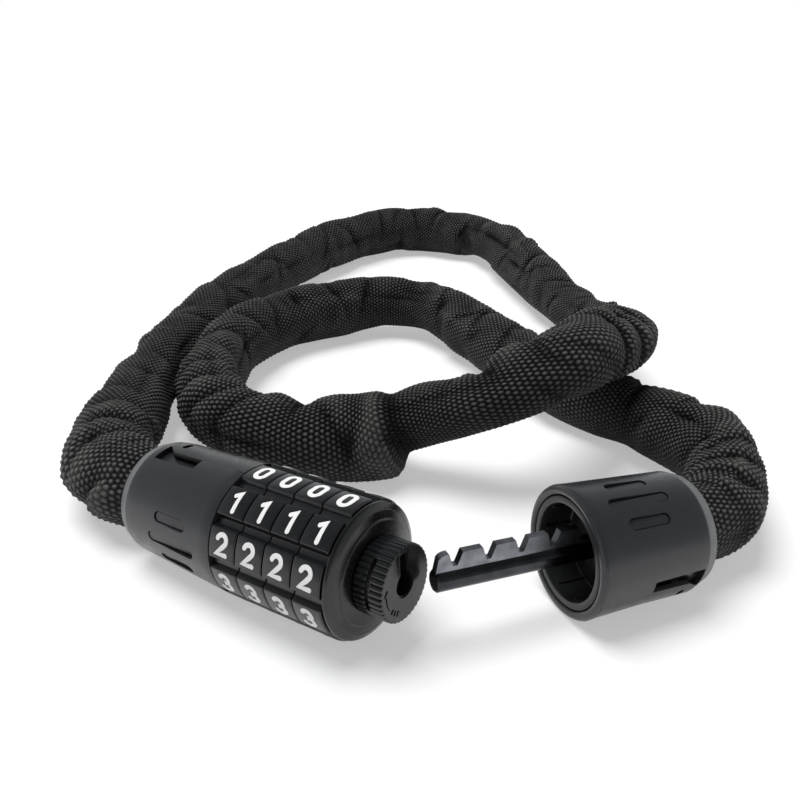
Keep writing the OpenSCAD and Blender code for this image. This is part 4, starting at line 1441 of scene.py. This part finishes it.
    def arrow(self, front: float) -> list[bmesh.types.BMesh]:
        """Returns a plain raised curved arrow and three ticks for the setting direction.

        Args:
            front: height of the knob's face.

        Returns:
            Closed shapes that stand on the face.
        """
        low, high = front - 0.2, front + 0.22
        band = ring_slot(6.75, 7.35, 86, 122)
        tip = [(r * math.cos(math.radians(a)), r * math.sin(math.radians(a)))
               for r, a in ((6.1, 85.8), (8.0, 85.8), (7.05, 74))]
        shapes = [prism(band, low, high), prism(tip, low, high)]
        for a in (132, 142, 152):
            shapes.append(prism(ring_slot(6.4, 7.7, a - 2.2, a + 2.2), low, high))
        return shapes

    def build(self) -> None:
        """Makes every visible piece of the barrel."""
        self.casing()
        clip = softened("lock_clip", "lock_clip_blade", self.materials["clip_steel"], CLIP_ROUND)
        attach(clip, "lock_barrel")
        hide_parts("lock_clip")
        glyphs = self.glyphs()
        for index in range(self.count):
            self.dial(index)
            self.digits(index, glyphs)
            LOG.info("dial %d with its digits", index + 1)
        for made in (clip, self.cap(), self.knob()):
            LOG.info("%s", made.name)


# ---------------------------------------------------------------- socket barrel


@dataclass
class SocketBarrel(Barrel):
    """The barrel with the bolt: casing, liner, clip and toothed bolt.

    Lengths are millimetres, measured from its mouth.
    """

    side: Side = Side.SOCKET
    casing_len: float = 35.4
    mouth_r: float = 17.1
    clip_at: float = 126.0
    grips: tuple[float, ...] = (0, 21, 42)
    grips_at: float = 15.7
    liner_r: float = 12.5
    liner_wall: float = 1.9
    cavity: float = 9.6
    ribs: int = 10

    def liner(self) -> bpy.types.Object:
        """Makes the moulded liner with its ribs.

        Returns:
            The liner.
        """
        out = self.liner_r + self.liner_wall
        z, floor = 0.4, 0.4 + self.cavity
        profile = [(3.0, floor), (self.liner_r - 0.3, floor), (self.liner_r, floor - 0.3)]
        profile += [(self.liner_r, z + 0.25), (self.liner_r + 0.08, z + 0.07),
                    (self.liner_r + 0.25, z), (out - 0.3, z), (out - 0.08, z + 0.08),
                    (out, z + 0.3), (out, floor), (13.15, floor + 0.02), (13.15, floor + 0.8),
                    (3.0, floor + 0.8)]
        made = to_object(turned(profile, 128), "socket_liner_moulding",
                         self.materials["liner_plastic"], None, 30.0)
        ribs = []
        for k in range(self.ribs):
            turn = Matrix.Rotation(math.radians(360 / self.ribs * (k + 0.5)), 3, "Z")
            rib = prism([(self.liner_r - 0.45, -0.35), (self.liner_r + 0.3, -0.5),
                         (self.liner_r + 0.3, 0.5), (self.liner_r - 0.45, 0.35)], 2.2, floor + 0.2)
            bmesh.ops.rotate(rib, verts=rib.verts, cent=(0, 0, 0), matrix=turn)
            ribs.append(rib)
        cut(made, ribs, union=True)
        slot = prism([(0, -1.2), (4.0, -1.2), (4.0, 1.2), (0, 1.2)], 8, 13)
        cut(made, [slot])
        made.data.transform(self.matrix)
        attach(made, "socket_barrel")
        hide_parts("socket_liner")
        return made

    def build(self) -> None:
        """Makes every visible piece of the barrel."""
        self.casing()
        LOG.info("%s", self.liner().name)
        for name, new_name, finish, width in (
                ("socket_clip", "socket_clip_blade", "clip_steel", CLIP_ROUND),
                ("bolt", "toothed_bolt", "bolt_nickel", 0.14)):
            made = softened(name, new_name, self.materials[finish], width)
            if name == "bolt":
                # The toothed fin is rougher and paler than the polished rod
                made.data.materials.append(self.materials["fin_nickel"])
                back = self.matrix.inverted()
                for face in made.data.polygons:
                    spot = back @ face.center
                    face.material_index = int(math.hypot(spot.x, spot.y) > 3.0 and spot.x > 2.0)
            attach(made, "socket_barrel")
            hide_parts(name)
            LOG.info("%s", new_name)


# ---------------------------------------------------------------- stage


@dataclass
class Stage:
    """The pale floor, the soft light and the camera.

    The camera's focal length and shift are pixels of a render with the stated width. The floor
    has one shade for the light that it throws and another one for the eye.
    """

    focal_px: float = 900.0
    width_px: float = 800.0
    shift_px: float = -11.0
    sensor: float = 36.0
    pitch: float = math.degrees(math.atan(389 / 900))
    at: Point = (-0.002, -0.199, 0.1434)
    floor_lights: float = 0.7
    floor_seen: float = 0.6
    floor_glow: float = 0.42
    lamp_power: float = 2.8
    lamp_angle: float = 38.0
    lamp_aim: Point = (0.28, -0.12, -1.0)

    def camera(self) -> None:
        """Places the camera."""
        data = bpy.data.cameras.new("camera")
        data.sensor_width = self.sensor
        data.lens = self.sensor * self.focal_px / self.width_px
        data.shift_y = self.shift_px / self.width_px
        data.clip_start = 0.005
        made = bpy.data.objects.new("camera", data)
        made.location = self.at
        made.rotation_euler = (math.radians(90 - self.pitch), 0, 0)
        bpy.context.scene.collection.objects.link(made)
        bpy.context.scene.camera = made

    def floor(self) -> None:
        """Makes the floor, which the camera sees a little paler than it lights the object."""
        bm = bmesh.new()
        bmesh.ops.create_grid(bm, x_segments=1, y_segments=1, size=6.0)
        material, tree, shader = new_material("floor")
        ray = node(tree, "ShaderNodeLightPath")
        colour = node(tree, "ShaderNodeMix", {"data_type": "RGBA"},
                      {6: (*[self.floor_lights] * 3, 1), 7: (*[self.floor_seen] * 3, 1)},
                      {0: ray.outputs["Is Camera Ray"]})
        tree.links.new(colour.outputs[2], shader.inputs["Base Color"])
        # The eye and a mirror both see it near white, with the object's shadow kept
        direct = calc(tree, "MAXIMUM", {0: ray.outputs["Is Camera Ray"],
                                        1: ray.outputs["Is Glossy Ray"]})
        glow = calc(tree, "MULTIPLY", {0: direct}, {1: self.floor_glow})
        tree.links.new(glow, shader.inputs["Emission Strength"])
        shader.inputs["Emission Color"].default_value = (1, 1, 1, 1)
        shader.inputs["Roughness"].default_value = 0.9
        shader.inputs["Specular IOR Level"].default_value = 0.0
        made = to_object(bm, "floor", material, recalc=False)

    def light(self) -> None:
        """Lights the object with a pale room, brightest low down, and one broad lamp above."""
        world = bpy.data.worlds.new("room")
        bpy.context.scene.world = world
        world.use_nodes = True
        tree = world.node_tree
        tree.nodes.clear()
        place = node(tree, "ShaderNodeTexCoord")
        split = node(tree, "ShaderNodeSeparateXYZ", links={"Vector": place.outputs["Generated"]})
        level = ramp(tree, split.outputs["Z"], 0.0, 0.75, 0.95, 0.24)
        # The window side, behind the object, is the brighter one
        window = ramp(tree, split.outputs["Y"], -0.7, 0.5, 0.5, 1.0)
        glow = calc(tree, "MULTIPLY", {0: level, 1: window})
        ray = node(tree, "ShaderNodeLightPath")
        room = node(tree, "ShaderNodeBackground", values={"Color": (0.96, 0.98, 1.0, 1)},
                    links={"Strength": glow})
        seen = node(tree, "ShaderNodeBackground", values={"Color": (1, 1, 1, 1), "Strength": 1.0})
        mix = node(tree, "ShaderNodeMixShader", links={0: ray.outputs["Is Camera Ray"],
                                                       1: room.outputs[0], 2: seen.outputs[0]})
        node(tree, "ShaderNodeOutputWorld", links={"Surface": mix.outputs[0]})
        data = bpy.data.lights.new("overhead", "SUN")
        data.energy = self.lamp_power
        data.angle = math.radians(self.lamp_angle)
        made = bpy.data.objects.new("overhead", data)
        made.rotation_euler = Vector(self.lamp_aim).to_track_quat("-Z", "Y").to_euler()
        made.visible_glossy = False
        bpy.context.scene.collection.objects.link(made)


# Finish of each CAD node that is kept
NODE_FINISH: dict[str, str] = {
    "chain_links": "chain_steel", "sleeve_clamp_lock": "clamp_steel",
    "sleeve_clamp_socket": "clamp_steel", "lock_body": "body_zinc", "core_tube": "core_steel",
    "lock_anchor_pin": "pin_steel", "wheel_spring": "spring_steel",
    "detent_spring": "spring_steel", **{f"code_wheel_{k}": "wheel_brass" for k in range(1, 5)},
    "knob_clip": "spring_steel", "socket_body": "body_zinc", "bolt_pin": "pin_steel",
    "socket_anchor_pin": "pin_steel",
}


def dress_nodes(materials: Materials) -> None:
    """Gives every kept CAD node its finish.

    Args:
        materials: finishes by name.
    """
    for name, finish in NODE_FINISH.items():
        made = FRAME["nodes"][name]
        for slot in made.material_slots:
            slot.material = materials[finish]
        if not made.material_slots:
            made.data.materials.append(materials[finish])
    LOG.info("finishes of %d kept nodes", len(NODE_FINISH))


def main() -> None:
    """Loads the frame, then builds the stage, the sleeve and the two barrels."""
    logging.basicConfig(level=logging.INFO, format="%(name)s: %(message)s")
    FRAME.update(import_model())
    bpy.context.scene.view_settings.view_transform = "Standard"
    stage = Stage()
    stage.camera()
    materials = {finish.name: finish.make() for finish in FINISHES}
    WovenSleeve(materials).build()
    stage.floor()
    stage.light()
    DialBarrel(LOCK_PLACE.matrix(), materials).build()
    SocketBarrel(SOCKET_PLACE.matrix(), materials).build()
    dress_nodes(materials)


if __name__ == "__main__":
    main()
